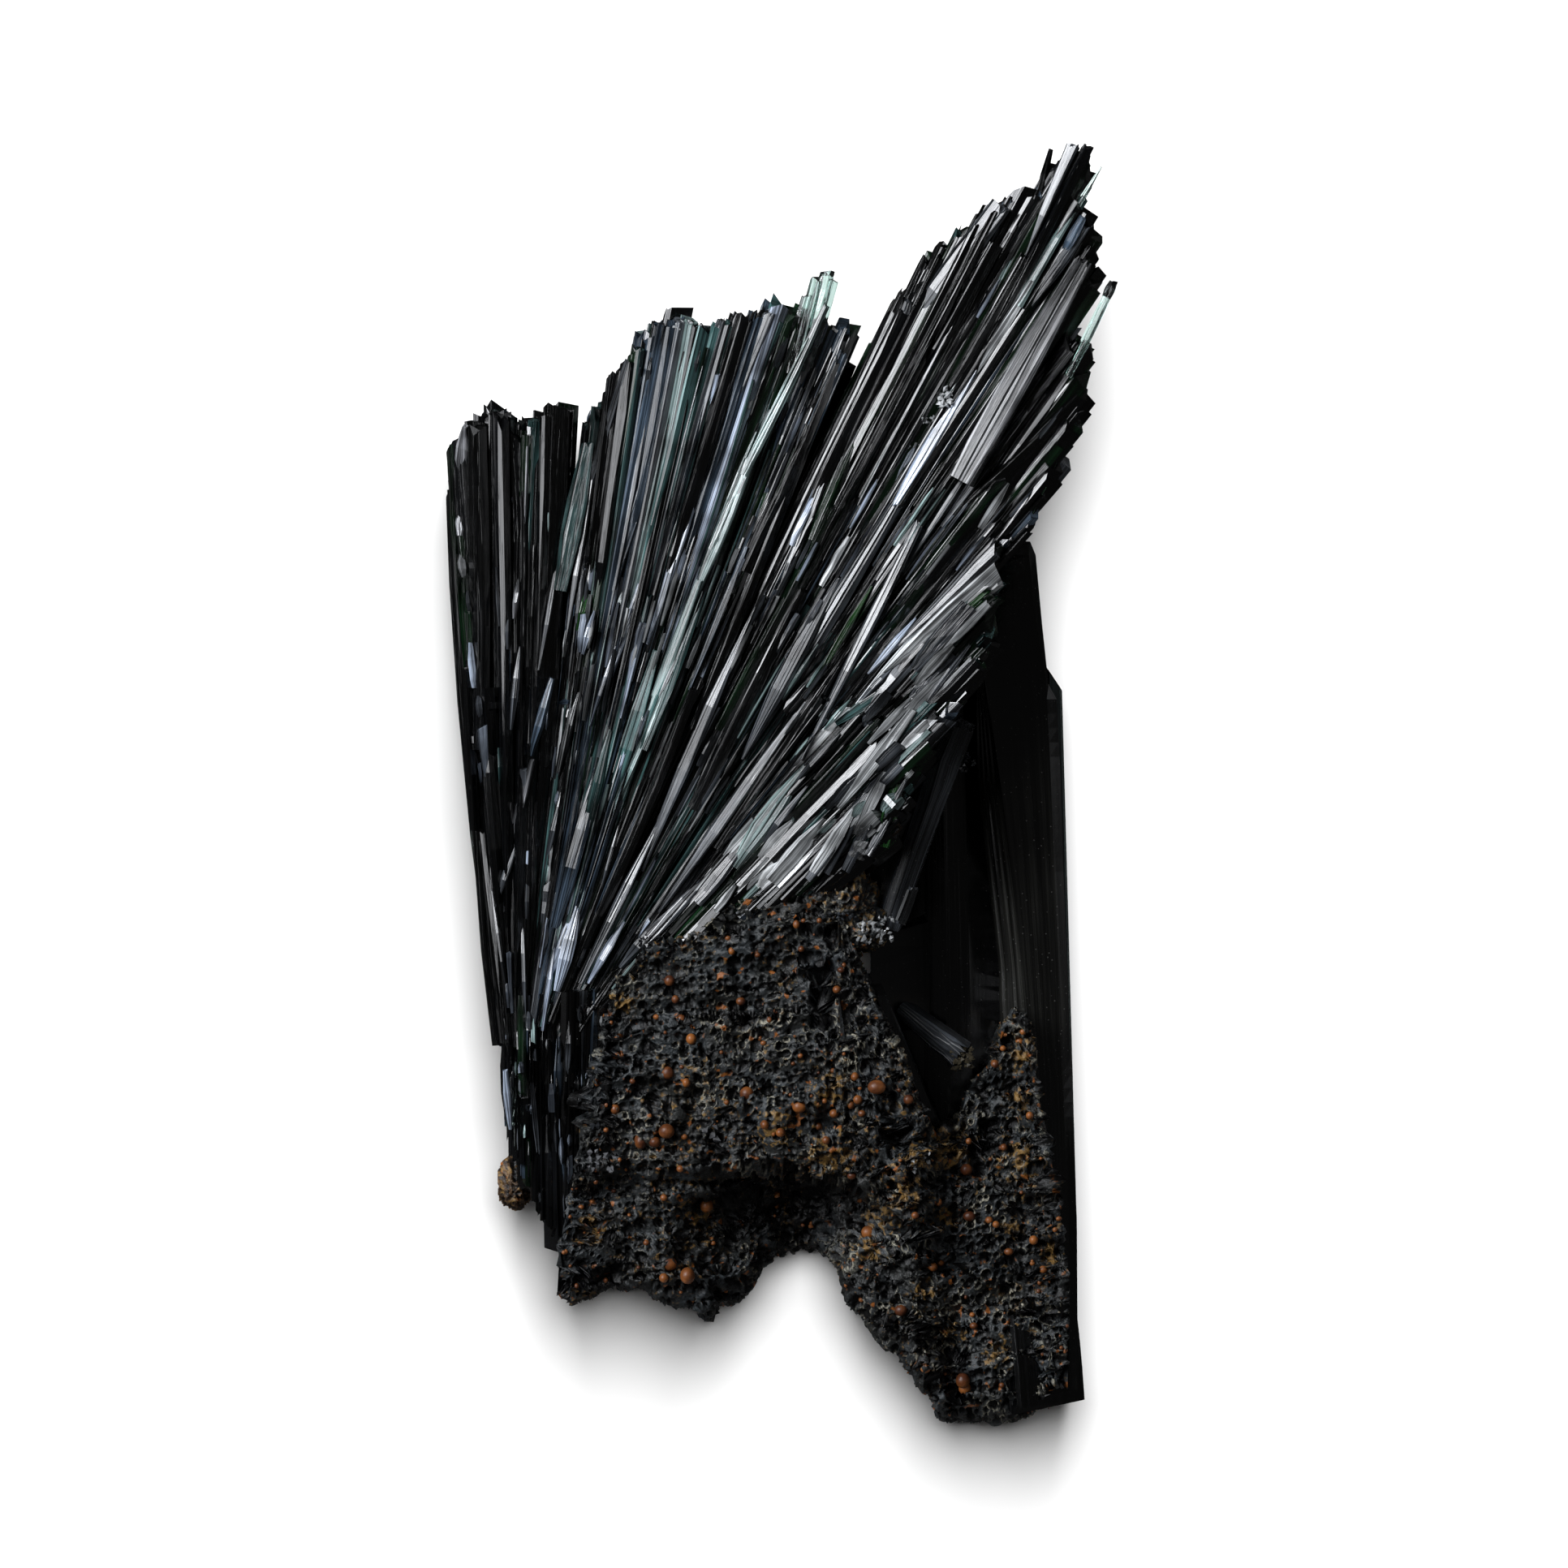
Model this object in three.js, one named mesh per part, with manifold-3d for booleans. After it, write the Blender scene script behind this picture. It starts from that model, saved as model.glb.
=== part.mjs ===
// A spray of vivianite blades growing from pitted siderite rock, lying on its back.
// Millimetres. +X is right, +Y runs from the rock to the blade tips, +Z faces up, towards the viewer.
// The origin is the middle of the footprint, on the surface that the specimen rests on.
import * as THREE from "three";
import { mergeVertices } from "three/addons/utils/BufferGeometryUtils.js";
import Module from "manifold-3d";

const wasm = await Module();
wasm.setup();

// Driving dimensions
const specimen = { length: 130, thickness: 31 }; // overall; its blades spread about 67 wide
const gap = 0.3; // space between neighbouring pieces
const blockHeight = 1.4 * specimen.thickness; // of the blocks that cut the clefts
const blockLength = 2 * specimen.length;

// Looks of the two minerals
const vivianite = new THREE.MeshStandardMaterial({ color: 0x0b1614, roughness: 0.15, metalness: 0 });
const paleVivianite = new THREE.MeshStandardMaterial({ color: 0x6f9c96, roughness: 0.1, metalness: 0 });
const siderite = new THREE.MeshStandardMaterial({ color: 0x2c2a26, roughness: 0.9, metalness: 0 });
const limonite = new THREE.MeshStandardMaterial({ color: 0x4a3322, roughness: 0.95, metalness: 0 });

// Solids and geometries

function solidOf(geometry) {
  const bare = geometry.clone();
  bare.deleteAttribute("normal");
  bare.deleteAttribute("uv");
  const merged = mergeVertices(bare, 1e-4);
  return new wasm.Manifold(
    new wasm.Mesh({
      numProp: 3,
      vertProperties: merged.attributes.position.array,
      triVerts: new Uint32Array(merged.index.array),
    }),
  );
}

function geometryOf(solid) {
  const mesh = solid.getMesh();
  const places = new Float32Array(mesh.numVert * 3);
  for (let i = 0; i < mesh.numVert; i++) {
    places.set(mesh.vertProperties.subarray(i * mesh.numProp, i * mesh.numProp + 3), i * 3);
  }
  const geometry = new THREE.BufferGeometry();
  geometry.setAttribute("position", new THREE.BufferAttribute(places, 3));
  geometry.setIndex(new THREE.BufferAttribute(mesh.triVerts, 1));
  geometry.computeVertexNormals();
  return geometry;
}

const joined = (solids) => solids.reduce((all, next) => all.add(next));

// The largest body of a solid: cuts can leave loose chips beside it.
function mainBody(solid) {
  return solid.decompose().reduce((best, next) => (next.volume() > best.volume() ? next : best));
}

// Repeatable random numbers from 0 to 1
function randomFrom(seed) {
  let state = seed;
  return () => {
    state = (state * 16807) % 2147483647;
    return state / 2147483647;
  };
}

const mix = (a, b, t) => a + (b - a) * t;
const mixPoints = (a, b, t) => a.map((value, k) => mix(value, b[k], t));
const smoothStep = (low, high, value) => {
  const t = Math.min(1, Math.max(0, (value - low) / (high - low)));
  return t * t * (3 - 2 * t);
};

// Blades

// Section of a blade, in shares of its width and depth, with the first number positive on the left of its
// direction: a broad cleavage face with a bevel on each side.
const bladeSection = [
  [-0.5, -0.44], [0.5, -0.5], [0.5, 0.34], [0.24, 0.5], [-0.36, 0.48], [-0.5, 0.4],
];

// One end of a blade: its place, the heights of its front and its back, and its width
const end = (x, y, front, back, width) => ({ at: [x, y], front, back, width });

// A tapering prism from the root end to the tip end. chisel slants the tip across the width, lean slants it
// through the depth, roll turns the section and grow fattens it all round.
function blade({ root, tip, section = bladeSection, roll = 0, chisel = 0, lean = 0, grow = 0 }) {
  const shape = new THREE.Shape(section.map(([u, v]) => new THREE.Vector2(u, v)));
  const geometry = new THREE.ExtrudeGeometry(shape, { depth: 1, bevelEnabled: false, steps: 1 });
  const middle = ({ at, front, back }) => new THREE.Vector3(at[0], at[1], (front + back) / 2);
  const start = middle(root);
  const finish = middle(tip);
  const along = finish.clone().sub(start).normalize();
  const across = new THREE.Vector3().crossVectors(new THREE.Vector3(0, 0, 1), along).normalize();
  const outward = new THREE.Vector3().crossVectors(along, across);
  across.applyAxisAngle(along, roll);
  outward.applyAxisAngle(along, roll);
  start.addScaledVector(along, -grow);
  finish.addScaledVector(along, grow);
  const places = geometry.attributes.position;
  for (let i = 0; i < places.count; i++) {
    const share = places.getZ(i);
    const width = mix(root.width, tip.width, share) + 2 * grow;
    const depth = mix(root.front - root.back, tip.front - tip.back, share) + 2 * grow;
    const u = places.getX(i);
    const v = places.getY(i);
    const place = start.clone().lerp(finish, share);
    place.addScaledVector(across, u * width);
    place.addScaledVector(outward, v * depth);
    place.addScaledVector(along, share * (chisel * u * width + lean * v * depth));
    places.setXYZ(i, place.x, place.y, place.z);
  }
  return solidOf(geometry);
}

// A bundle has one front blade for each tip [x, y, front, width], with its root on a line.
// Behind every second front blade lies a broader one that ends short of the tip.
function bundle({ rootLine, rootFront, rootBack, rootWidth, tipBack, tips, seed }) {
  const random = randomFrom(seed);
  const blades = tips.flatMap(([x, y, front, width], i) => {
    const share = i / (tips.length - 1);
    const step = (i % 2 ? 0.45 : -0.45) + (random() - 0.5) * 0.8;
    const rootAt = mixPoints(rootLine[0], rootLine[1], share);
    const rootTop = mix(rootFront[0], rootFront[1], share) + step * 0.5;
    const rootBottom = mix(rootBack[0], rootBack[1], share);
    const tipBottom = mix(tipBack[0], tipBack[1], share);
    const rootMiddle = mix(rootTop, rootBottom, 0.5 + 0.2 * random());
    const tipMiddle = mix(front, tipBottom, 0.4 + 0.25 * random());
    const frontBlade = blade({
      root: { at: rootAt, front: rootTop, back: rootMiddle, width: rootWidth },
      tip: { at: [x, y], front: front + step, back: tipMiddle, width },
      chisel: (random() - 0.5) * 1.1,
      lean: (random() - 0.5) * 0.3,
      roll: (random() - 0.5) * 0.16,
    });
    if (i % 2) return [frontBlade];
    const backBlade = blade({
      root: { at: rootAt, front: rootMiddle + 1, back: rootBottom, width: 1.7 * rootWidth },
      tip: {
        at: mixPoints([x, y], rootAt, 0.03 + 0.09 * random()),
        front: tipMiddle + 0.6,
        back: tipBottom,
        width: 1.9 * width,
      },
      chisel: (random() - 0.5) * 0.8,
      lean: (random() - 0.5) * 0.6,
      roll: (random() - 0.5) * 0.2,
    });
    return [frontBlade, backBlade];
  });
  return joined(blades);
}

// Everything on one side of the line from a to b, seen from above: left for 1, right for -1
function sideOf(a, b, side) {
  const geometry = new THREE.BoxGeometry(blockLength, blockLength, 2 * blockHeight);
  geometry.translate(0, side * (blockLength / 2 + gap / 2), 0);
  geometry.rotateZ(Math.atan2(b[1] - a[1], b[0] - a[0]));
  geometry.translate((a[0] + b[0]) / 2, (a[1] + b[1]) / 2, 0);
  return solidOf(geometry);
}

// The clefts between bundles, as lines in plan, each run from the root towards the tips
const clefts = {
  leftToMiddle: [[-26.4, -24], [-20.9, 38]],
  middleToRight: [[-22.2, -20], [6.3, 41.5]],
  rightToLower: [[-14.5, -17.5], [24.6, 27.4]],
  rootToSpray: [[-32, -23.6], [-12, -23.6]],
};
const rootSide = [[-22.6, -50], [-19.0, -23]]; // between the root blades and the rock
const leftOf = (cleft) => sideOf(cleft[0], cleft[1], 1);
const rightOf = (cleft) => sideOf(cleft[0], cleft[1], -1);

const leftBundle = {
  rootLine: [[-30.2, -9], [-26.4, -26]],
  rootFront: [19, 20],
  rootBack: [8, 7],
  rootWidth: 1.6,
  tipBack: [5, 0],
  tips: [
    [-32.7, 32.6, 17.5, 1.7], [-32.4, 35.4, 19.5, 2.2], [-30.9, 37.2, 21.0, 2.0], [-29.5, 38.2, 20.4, 1.8],
    [-28.4, 38.4, 21.6, 1.6], [-27.1, 36.4, 20.6, 1.8], [-25.8, 35.8, 20.2, 1.8], [-24.5, 37.4, 22.0, 1.7],
    [-23.0, 38.4, 22.6, 1.8], [-21.8, 37.4, 21.6, 1.7],
  ],
  seed: 11,
};

// Short outer blades that break off above the root
const leftOuter = [
  { root: end(-31.0, -5.2, 17, 10, 1.5), tip: end(-32.9, 31.0, 17, 7, 1.4) },
  { root: end(-29.0, -14, 18.5, 9, 1.2), tip: end(-31.6, 12, 18, 8, 2.4) },
  { root: end(-28.0, -25, 18, 6, 1.4), tip: end(-28.8, 2, 20, 6, 2.2) },
  { root: end(-30.9, -6.6, 14.6, 13, 0.8), tip: end(-31.2, -3, 15.4, 12.5, 1.2) },
];

const middleBundle = {
  rootLine: [[-26.6, -26], [-22.6, -26]],
  rootFront: [20.5, 21],
  rootBack: [7, 7],
  rootWidth: 1.3,
  tipBack: [2, 6],
  tips: [
    [-20.4, 36.1, 20.6, 1.9], [-19.0, 36.5, 20.0, 2.0], [-17.6, 38.8, 23.4, 1.9], [-16.4, 41.5, 24.2, 1.9],
    [-15.2, 43.2, 25.0, 1.9], [-13.8, 45.0, 25.6, 2.0], [-12.3, 46.6, 25.2, 2.1], [-10.8, 47.0, 24.4, 2.0],
    [-9.2, 47.1, 25.4, 2.1], [-7.6, 46.3, 25.8, 2.1], [-6.0, 46.8, 26.6, 2.1], [-4.4, 47.2, 25.4, 2.1],
    [-2.7, 47.4, 26.8, 2.3], [-0.8, 48.3, 25.8, 2.2], [0.9, 47.8, 26.2, 2.1], [4.3, 51.6, 25.0, 2.9],
    [3.6, 47.0, 26.4, 2.0], [6.4, 46.9, 25.4, 2.2], [7.4, 45.4, 24.6, 1.8],
  ],
  seed: 23,
};

const rightBundle = {
  rootLine: [[-23.0, -22], [-17.5, -22]],
  rootFront: [20.5, 22],
  rootBack: [7, 8],
  rootWidth: 1.8,
  tipBack: [8, 19],
  tips: [
    [6.9, 40.2, 23.0, 2.0], [8.8, 43.6, 24.6, 2.2], [10.5, 46.1, 25.6, 2.3], [12.4, 48.6, 26.4, 2.4],
    [14.4, 50.6, 27.6, 2.4], [16.4, 53.4, 28.2, 2.5], [18.6, 55.8, 28.8, 2.6], [20.8, 57.6, 29.4, 2.6],
    [23.0, 59.0, 28.6, 2.8], [25.4, 60.4, 27.6, 2.2], [26.9, 64.0, 25.8, 0.9], [28.4, 62.9, 30.4, 2.0],
    [30.4, 64.1, 31.0, 2.9], [29.5, 59.0, 30.0, 2.4], [31.0, 57.0, 28.8, 2.0], [31.4, 53.0, 29.6, 2.4],
    [29.2, 46.6, 31.0, 2.6], [31.2, 44.4, 28.4, 1.6], [30.2, 41.0, 29.2, 2.4], [30.4, 38.6, 28.4, 2.2],
    [29.0, 35.6, 29.6, 2.6],
  ],
  seed: 37,
};

// Blades that stand out of the right bundle: the pale needle, and the dark flank down to the side prism
const rightExtras = [
  { root: end(28.4, 41.2, 27.2, 26.0, 1.0), tip: end(33.3, 50.6, 27.6, 26.7, 0.95) },
  { root: end(18.0, 20.0, 27, 19, 3.0), tip: end(27.6, 33.6, 27.6, 20, 3.4) },
  { root: end(20.0, 18.0, 25, 18.5, 2.6), tip: end(25.0, 27.2, 25.6, 19.5, 3.2) },
];

const lowerBundle = {
  rootLine: [[-15.5, -20], [4.0, -20]],
  rootFront: [21.5, 26.5],
  rootBack: [8, 12],
  rootWidth: 3.2,
  tipBack: [20.5, 14],
  tips: [
    [22.4, 25.6, 29.0, 2.6], [21.2, 23.4, 31.0, 2.8], [20.6, 21.0, 31.8, 2.8], [20.4, 18.4, 30.6, 2.8],
    [20.0, 15.4, 30.0, 2.8], [18.2, 11.4, 29.6, 3.0], [15.6, 7.2, 30.0, 3.0], [13.6, 3.4, 29.2, 3.0],
    [12.0, -1.6, 28.6, 3.0], [10.6, -5.6, 27.6, 3.2],
  ],
  seed: 53,
};

// Blades that run down from the root beside the rock
const rootBundle = {
  rootLine: [[-27.6, -19], [-21.2, -19]],
  rootFront: [18.5, 20.5],
  rootBack: [6, 6],
  rootWidth: 2.2,
  tipBack: [4, 5],
  tips: [
    [-27.7, -33.6, 14.5, 1.6], [-26.8, -37.4, 16, 1.6], [-25.2, -42.6, 17.5, 1.8],
    [-23.9, -46.0, 17, 1.7], [-23.3, -47.6, 16, 1.4], [-22.0, -40.0, 18, 2.4], [-20.6, -34.6, 19.5, 2.2],
  ],
  seed: 71,
};

// Large single crystals

const prismSection = [
  [-0.5, -0.3], [-0.34, -0.5], [0.36, -0.5], [0.5, -0.36],
  [0.5, 0.12], [0.22, 0.46], [-0.4, 0.5], [-0.5, 0.3],
];

const sidePrism = {
  root: end(27.2, -61.1, 15, 1, 5.6),
  tip: end(23.1, 25.3, 17, 0, 6.8),
  section: prismSection,
  chisel: -0.08,
  lean: 0.05,
};
const edgeSlab = {
  root: end(29.35, -43.9, 11.5, 3, 1.2),
  tip: end(27.55, 11.2, 12.5, 4, 1.7),
  chisel: 1.6,
  lean: 0.06,
};
const backPrism = {
  root: end(16.4, -40, 8.4, 0.8, 13),
  tip: end(15.6, 9, 9, 1.4, 10),
  chisel: 0.3,
};
const flankBlade = {
  root: end(11.0, -13.6, 19.5, 10.5, 3.4),
  tip: end(18.0, 5.2, 22, 12, 3.8),
  chisel: 0.35,
};
const stubCrystal = {
  root: end(11.7, -14.0, 22.0, 20.2, 1.5),
  tip: end(13.4, -10.3, 23.2, 21.0, 1.4),
  chisel: 0.3,
};
const brokenCrystal = {
  root: end(13.4, -22.4, 12.0, 9.0, 2.0),
  tip: end(18.6, -26.6, 15.0, 10.6, 3.2),
  chisel: 0.25,
};
const rimBlade = {
  root: end(15.6, -34.4, 17.6, 9.5, 1.2),
  tip: end(9.6, -20.4, 20.6, 11, 1.4),
};
const cornerPrism = {
  root: end(26.2, -53.4, 17.6, 15.6, 2.6),
  tip: end(27.1, -62.4, 17.2, 8.5, 2.8),
  chisel: 0.12,
};

// Rock

// Outline of the rock in plan: its edge against the crystals, and its foot, both from left to right.
const rockHead = [
  [-23.2, -47.6], [-22.4, -43.6], [-21.4, -40], [-20.6, -35.5], [-19.9, -29.5], [-18.4, -24.2], [-17, -19.6],
  [-15.0, -17.4], [-13.0, -15.5], [-10.0, -15.2], [-7.0, -13.0], [-5.0, -11.5], [-2.0, -10.4], [0.4, -9.7],
  [3.0, -9.1], [5.4, -8.5], [8.0, -7.4], [8.6, -18.2], [10.5, -22.4], [13, -27.6], [15.3, -33.4], [16.3, -34.6],
  [17.3, -32.4], [18.3, -34.0], [18.8, -29.6], [20.5, -28.2], [22.4, -26.2], [22.9, -22.6], [23.8, -21.4],
  [24.8, -24.2], [25.5, -28.6], [26.3, -33.6], [27.1, -38.0], [27.9, -42.4], [28.4, -46.5], [28.8, -53.0],
];
const rockFoot = [
  [-23.2, -49.4], [-22.6, -51], [-21.4, -51.8], [-20, -51.3], [-18.2, -50.3], [-17, -49.6], [-16.3, -50.3],
  [-13.9, -50.2], [-12.6, -51.8], [-11, -52.1], [-8.8, -52.3], [-8.3, -53.2], [-7.3, -53.8], [-6.6, -52.4],
  [-5.0, -51.9], [-3.5, -51.0], [-2.8, -49.6], [-1.2, -47.3], [0.0, -46.7], [2.0, -46.3], [3.6, -46.1],
  [4.9, -47.2], [6.1, -48.9], [6.7, -52.0], [8.5, -53.3], [9.6, -55.2], [10.6, -56.3], [12.0, -56.8],
  [13.0, -58.6], [14.3, -61.0], [15.2, -60.9], [15.7, -63.4], [16.5, -64.1], [18.0, -64.3], [20.0, -64.0],
  [22.0, -64.2], [23.5, -63.9], [24.9, -63.4], [26.2, -62.4], [28.0, -61.6], [28.8, -60.6],
];
// The overhanging ledge below the low crystals: where the rock drops away from the viewer
const ledgeLine = [
  [-23.2, -40.5], [-16.0, -37.8], [-10.0, -38.6], [0.0, -38.6], [8.0, -40.6], [11.0, -43.0], [15.0, -45.6],
  [19.0, -49.0], [23.0, -51.0], [28.8, -52.5],
];
const rock = {
  crest: 23.5, // height of its front near the crystals
  terraceRise: 0.9,
  terraceSpacing: 4.3,
  frontRows: 15,
  backRows: 6,
  columnSpacing: 1.3,
};

// Height of a polyline at x
function lineAt(line, x) {
  const after = line.findIndex((point) => point[0] >= x);
  if (after <= 0) return after === 0 ? line[0][1] : line[line.length - 1][1];
  const [x0, y0] = line[after - 1];
  const [x1, y1] = line[after];
  return mix(y0, y1, (x - x0) / (x1 - x0));
}

// Smooth noise from -1 to 1, one lump for each unit of x and y
function lumps(x, y) {
  const corner = (i, j) => {
    const value = Math.sin(i * 127.1 + j * 311.7) * 43758.5453;
    return 2 * (value - Math.floor(value)) - 1;
  };
  const i = Math.floor(x);
  const j = Math.floor(y);
  const s = smoothStep(0, 1, x - i);
  const t = smoothStep(0, 1, y - j);
  const near = mix(corner(i, j), corner(i + 1, j), s);
  const far = mix(corner(i, j + 1), corner(i + 1, j + 1), s);
  return mix(near, far, t);
}

// Height of the rock's front: a slope with terraces, a deep ledge, and a hollow above the bay in its foot
function rockFront(x, y) {
  let height = rock.crest + 0.08 * Math.min(x, 8) + 0.05 * (y + 12);
  height -= 4.2 * smoothStep(13, 18.5, x);
  const row = (y - 0.14 * x + 1.1 * lumps(x / 9, y / 9)) / rock.terraceSpacing;
  height += rock.terraceRise * (row - Math.floor(row) - 0.5);
  const belowLedge = lineAt(ledgeLine, x) - y;
  height -= mix(5.2, 1.2, smoothStep(6, 24, x)) * smoothStep(-0.6, 2.4, belowLedge);
  height -= 5.5 * Math.exp(-(((x - 1) / 7) ** 2) - ((y + 45) / 4.5) ** 2);
  height += 0.9 * lumps(x / 3.1, y / 3.1) + 0.5 * lumps(x / 1.5 + 40, y / 1.5);
  const toFoot = y - lineAt(rockFoot, x);
  return height - 4.5 * (1 - smoothStep(-1, 4.5, toFoot));
}

// Height of the rock's back: flat where it rests, with worn edges
function rockBack(x, y, head, foot) {
  const inset = Math.min(head - y, y - foot, x + 23.2, 28.8 - x);
  return Math.max(0, 3.2 - 0.9 * inset + 0.5 * lumps(x / 2.3, y / 2.3));
}

// The body of the rock: one closed ring of points for each column, joined side by side, with closed ends
function rockBody() {
  const first = rockFoot[0][0];
  const last = rockFoot[rockFoot.length - 1][0];
  const columnCount = Math.round((last - first) / rock.columnSpacing);
  const columns = Array.from({ length: columnCount + 1 }, (_, i) => mix(first, last, i / columnCount));
  const rings = columns.map((x) => {
    const head = lineAt(rockHead, x);
    const foot = lineAt(rockFoot, x);
    const ring = [];
    for (let j = 0; j <= rock.frontRows; j++) {
      const y = mix(head, foot, j / rock.frontRows);
      ring.push([x, y, rockFront(x, y)]);
    }
    const footEdge = ring[ring.length - 1][2];
    ring.push([x, foot - 0.7, mix(footEdge, 2, 0.4)]);
    for (let j = 0; j <= rock.backRows; j++) {
      const y = mix(foot, head, j / rock.backRows);
      ring.push([x, y, rockBack(x, y, head, foot)]);
    }
    return ring;
  });
  const size = rings[0].length;
  const middleOf = (ring) => {
    const sum = ring.reduce((total, point) => total.map((value, k) => value + point[k]), [0, 0, 0]);
    return sum.map((value) => value / ring.length);
  };
  const places = [...rings.flat(), middleOf(rings[0]), middleOf(rings[rings.length - 1])];
  const faces = [];
  for (let c = 0; c + 1 < rings.length; c++) {
    for (let j = 0; j < size; j++) {
      const a = c * size + j;
      const b = c * size + ((j + 1) % size);
      faces.push(a, b, a + size, b, b + size, a + size);
    }
  }
  const lastRing = (rings.length - 1) * size;
  for (let j = 0; j < size; j++) {
    const k = (j + 1) % size;
    faces.push(k, j, places.length - 2, lastRing + j, lastRing + k, places.length - 1);
  }
  const geometry = new THREE.BufferGeometry();
  geometry.setAttribute("position", new THREE.Float32BufferAttribute(places.flat(), 3));
  geometry.setIndex(faces);
  return solidOf(geometry);
}

// A faceted ball, flattened and stretched by [x, y, z] radii
function ball(place, radii, detail = 0) {
  const geometry = new THREE.IcosahedronGeometry(1, detail);
  geometry.scale(...radii);
  geometry.rotateZ(place[0] * 3);
  geometry.translate(...place);
  return solidOf(geometry);
}

// The shelf of rock that overhangs the recess
const shelfLumps = [
  { place: [8.6, -10.7, 21.5], radii: [2.6, 3.6, 3.6] },
  { place: [8.4, -13.6, 21.0], radii: [2.9, 3.0, 3.4] },
  { place: [6.6, -12.6, 20.4], radii: [3.2, 4.2, 3.8] },
];

// The largest spherules, as [x, y, radius]
const spherules = [
  [-9.2, -25.2, 0.6], [-3.6, -30.8, 0.8], [9.5, -30.0, 0.85], [1.7, -32.0, 0.65], [5.2, -32.8, 0.55],
  [14.6, -36.0, 0.9], [-11.7, -34.4, 0.75], [-13.0, -35.6, 0.7], [-14.5, -35.6, 0.75], [-16.8, -26.7, 0.65],
  [-11.5, -28.8, 0.65], [-2.0, -33.9, 0.55], [3.7, -34.0, 0.55], [7.7, -32.0, 0.55], [18.5, -38.6, 0.65],
  [21.5, -27.9, 0.6], [24.1, -26.0, 0.5], [15.8, -41.8, 0.55], [18.8, -43.3, 0.6], [12.2, -52.8, 0.7],
  [8.8, -45.1, 0.6], [-11.0, -48.0, 1.0], [-9.5, -49.2, 0.85], [-7.8, -42.1, 0.85], [15.3, -53.6, 0.55],
  [18.2, -60.0, 0.85], [18.6, -61.2, 0.75], [14.6, -58.4, 0.55], [26.0, -45.8, 0.55], [-11.4, -19.4, 0.55],
  [1.2, -13.8, 0.6],
];
const pits = { count: 24, smallest: 0.8, largest: 1.7, seed: 91 };

function pittedRock() {
  const random = randomFrom(pits.seed);
  let solid = rockBody();
  solid = joined([solid, ...shelfLumps.map(({ place, radii }) => ball(place, radii, 1))]);
  for (let i = 0; i < pits.count; i++) {
    const x = mix(-20, 27, random());
    const y = mix(lineAt(rockHead, x) - 2, lineAt(rockFoot, x) + 2, random());
    const radius = mix(pits.smallest, pits.largest, random());
    const place = [x, y, rockFront(x, y) + 0.35 * radius];
    solid = solid.subtract(ball(place, [radius, radius * 0.8, radius]));
  }
  const balls = spherules.map(([x, y, radius]) => {
    const place = [x, y, rockFront(x, y) + 0.2 * radius];
    return ball(place, [radius, radius, radius]);
  });
  return joined([solid, ...balls]);
}

// A block over the plan of the rock and all that lies below its head: the spray stops at it
function rockZone() {
  const reach = specimen.length;
  const head = rockHead.slice(3, 17);
  const shelf = [[11.3, -5.4], [11.6, -9.5], [11.4, -16.6], [11.4, -reach], [-20.6, -reach]];
  const outline = [...head, ...shelf].map(([x, y]) => new THREE.Vector2(x, y + 2 * gap));
  const shape = new THREE.Shape(outline);
  const geometry = new THREE.ExtrudeGeometry(shape, { depth: 2 * blockHeight, bevelEnabled: false });
  geometry.translate(0, 0, -blockHeight);
  return solidOf(geometry);
}

// The lumps of the small brown crust on the far left
const crustLumps = [
  { place: [-27.2, -39.6, 9.5], radii: [1.8, 2.4, 3.6] },
  { place: [-26.4, -41.6, 8.4], radii: [1.5, 1.6, 2.6] },
];
function crustOf(extra) {
  const lump = ({ place, radii }) => ball(place, radii.map((radius) => radius + extra), 1);
  return joined(crustLumps.map(lump));
}

// Pieces, each cut clear of its neighbours

const grown = (crystal) => blade({ ...crystal, grow: gap });
const zone = rockZone();
const groundBox = new THREE.BoxGeometry(blockLength, blockLength, blockHeight);
const ground = solidOf(groundBox.translate(0, 0, -blockHeight / 2));

const singles = [sidePrism, flankBlade, backPrism, edgeSlab];
function clearOf(solid, crystals) {
  return crystals.reduce((left, crystal) => left.subtract(grown(crystal)), solid);
}

const leftBlades = joined([bundle(leftBundle), ...leftOuter.map((crystal) => blade(crystal))])
  .intersect(leftOf(clefts.leftToMiddle))
  .intersect(leftOf(clefts.rootToSpray));
const middleBlades = bundle(middleBundle)
  .intersect(rightOf(clefts.leftToMiddle))
  .intersect(leftOf(clefts.middleToRight))
  .intersect(leftOf(clefts.rootToSpray))
  .subtract(zone);
const rightBlades = clearOf(
  joined([bundle(rightBundle), ...rightExtras.map((crystal) => blade(crystal))])
    .intersect(rightOf(clefts.middleToRight))
    .intersect(leftOf(clefts.rightToLower))
    .subtract(zone),
  singles,
);
const lowerBlades = clearOf(
  bundle(lowerBundle).intersect(rightOf(clefts.rightToLower)).subtract(zone),
  singles,
);
const rootBlades = bundle(rootBundle)
  .intersect(rightOf(clefts.rootToSpray))
  .intersect(sideOf(rootSide[0], rootSide[1], 1))
  .subtract(crustOf(gap));

const inRock = [sidePrism, backPrism, edgeSlab, flankBlade, stubCrystal, rimBlade, cornerPrism];
const rockSolid = clearOf(pittedRock(), inRock).intersect(sideOf(rootSide[0], rootSide[1], -1));

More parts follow.
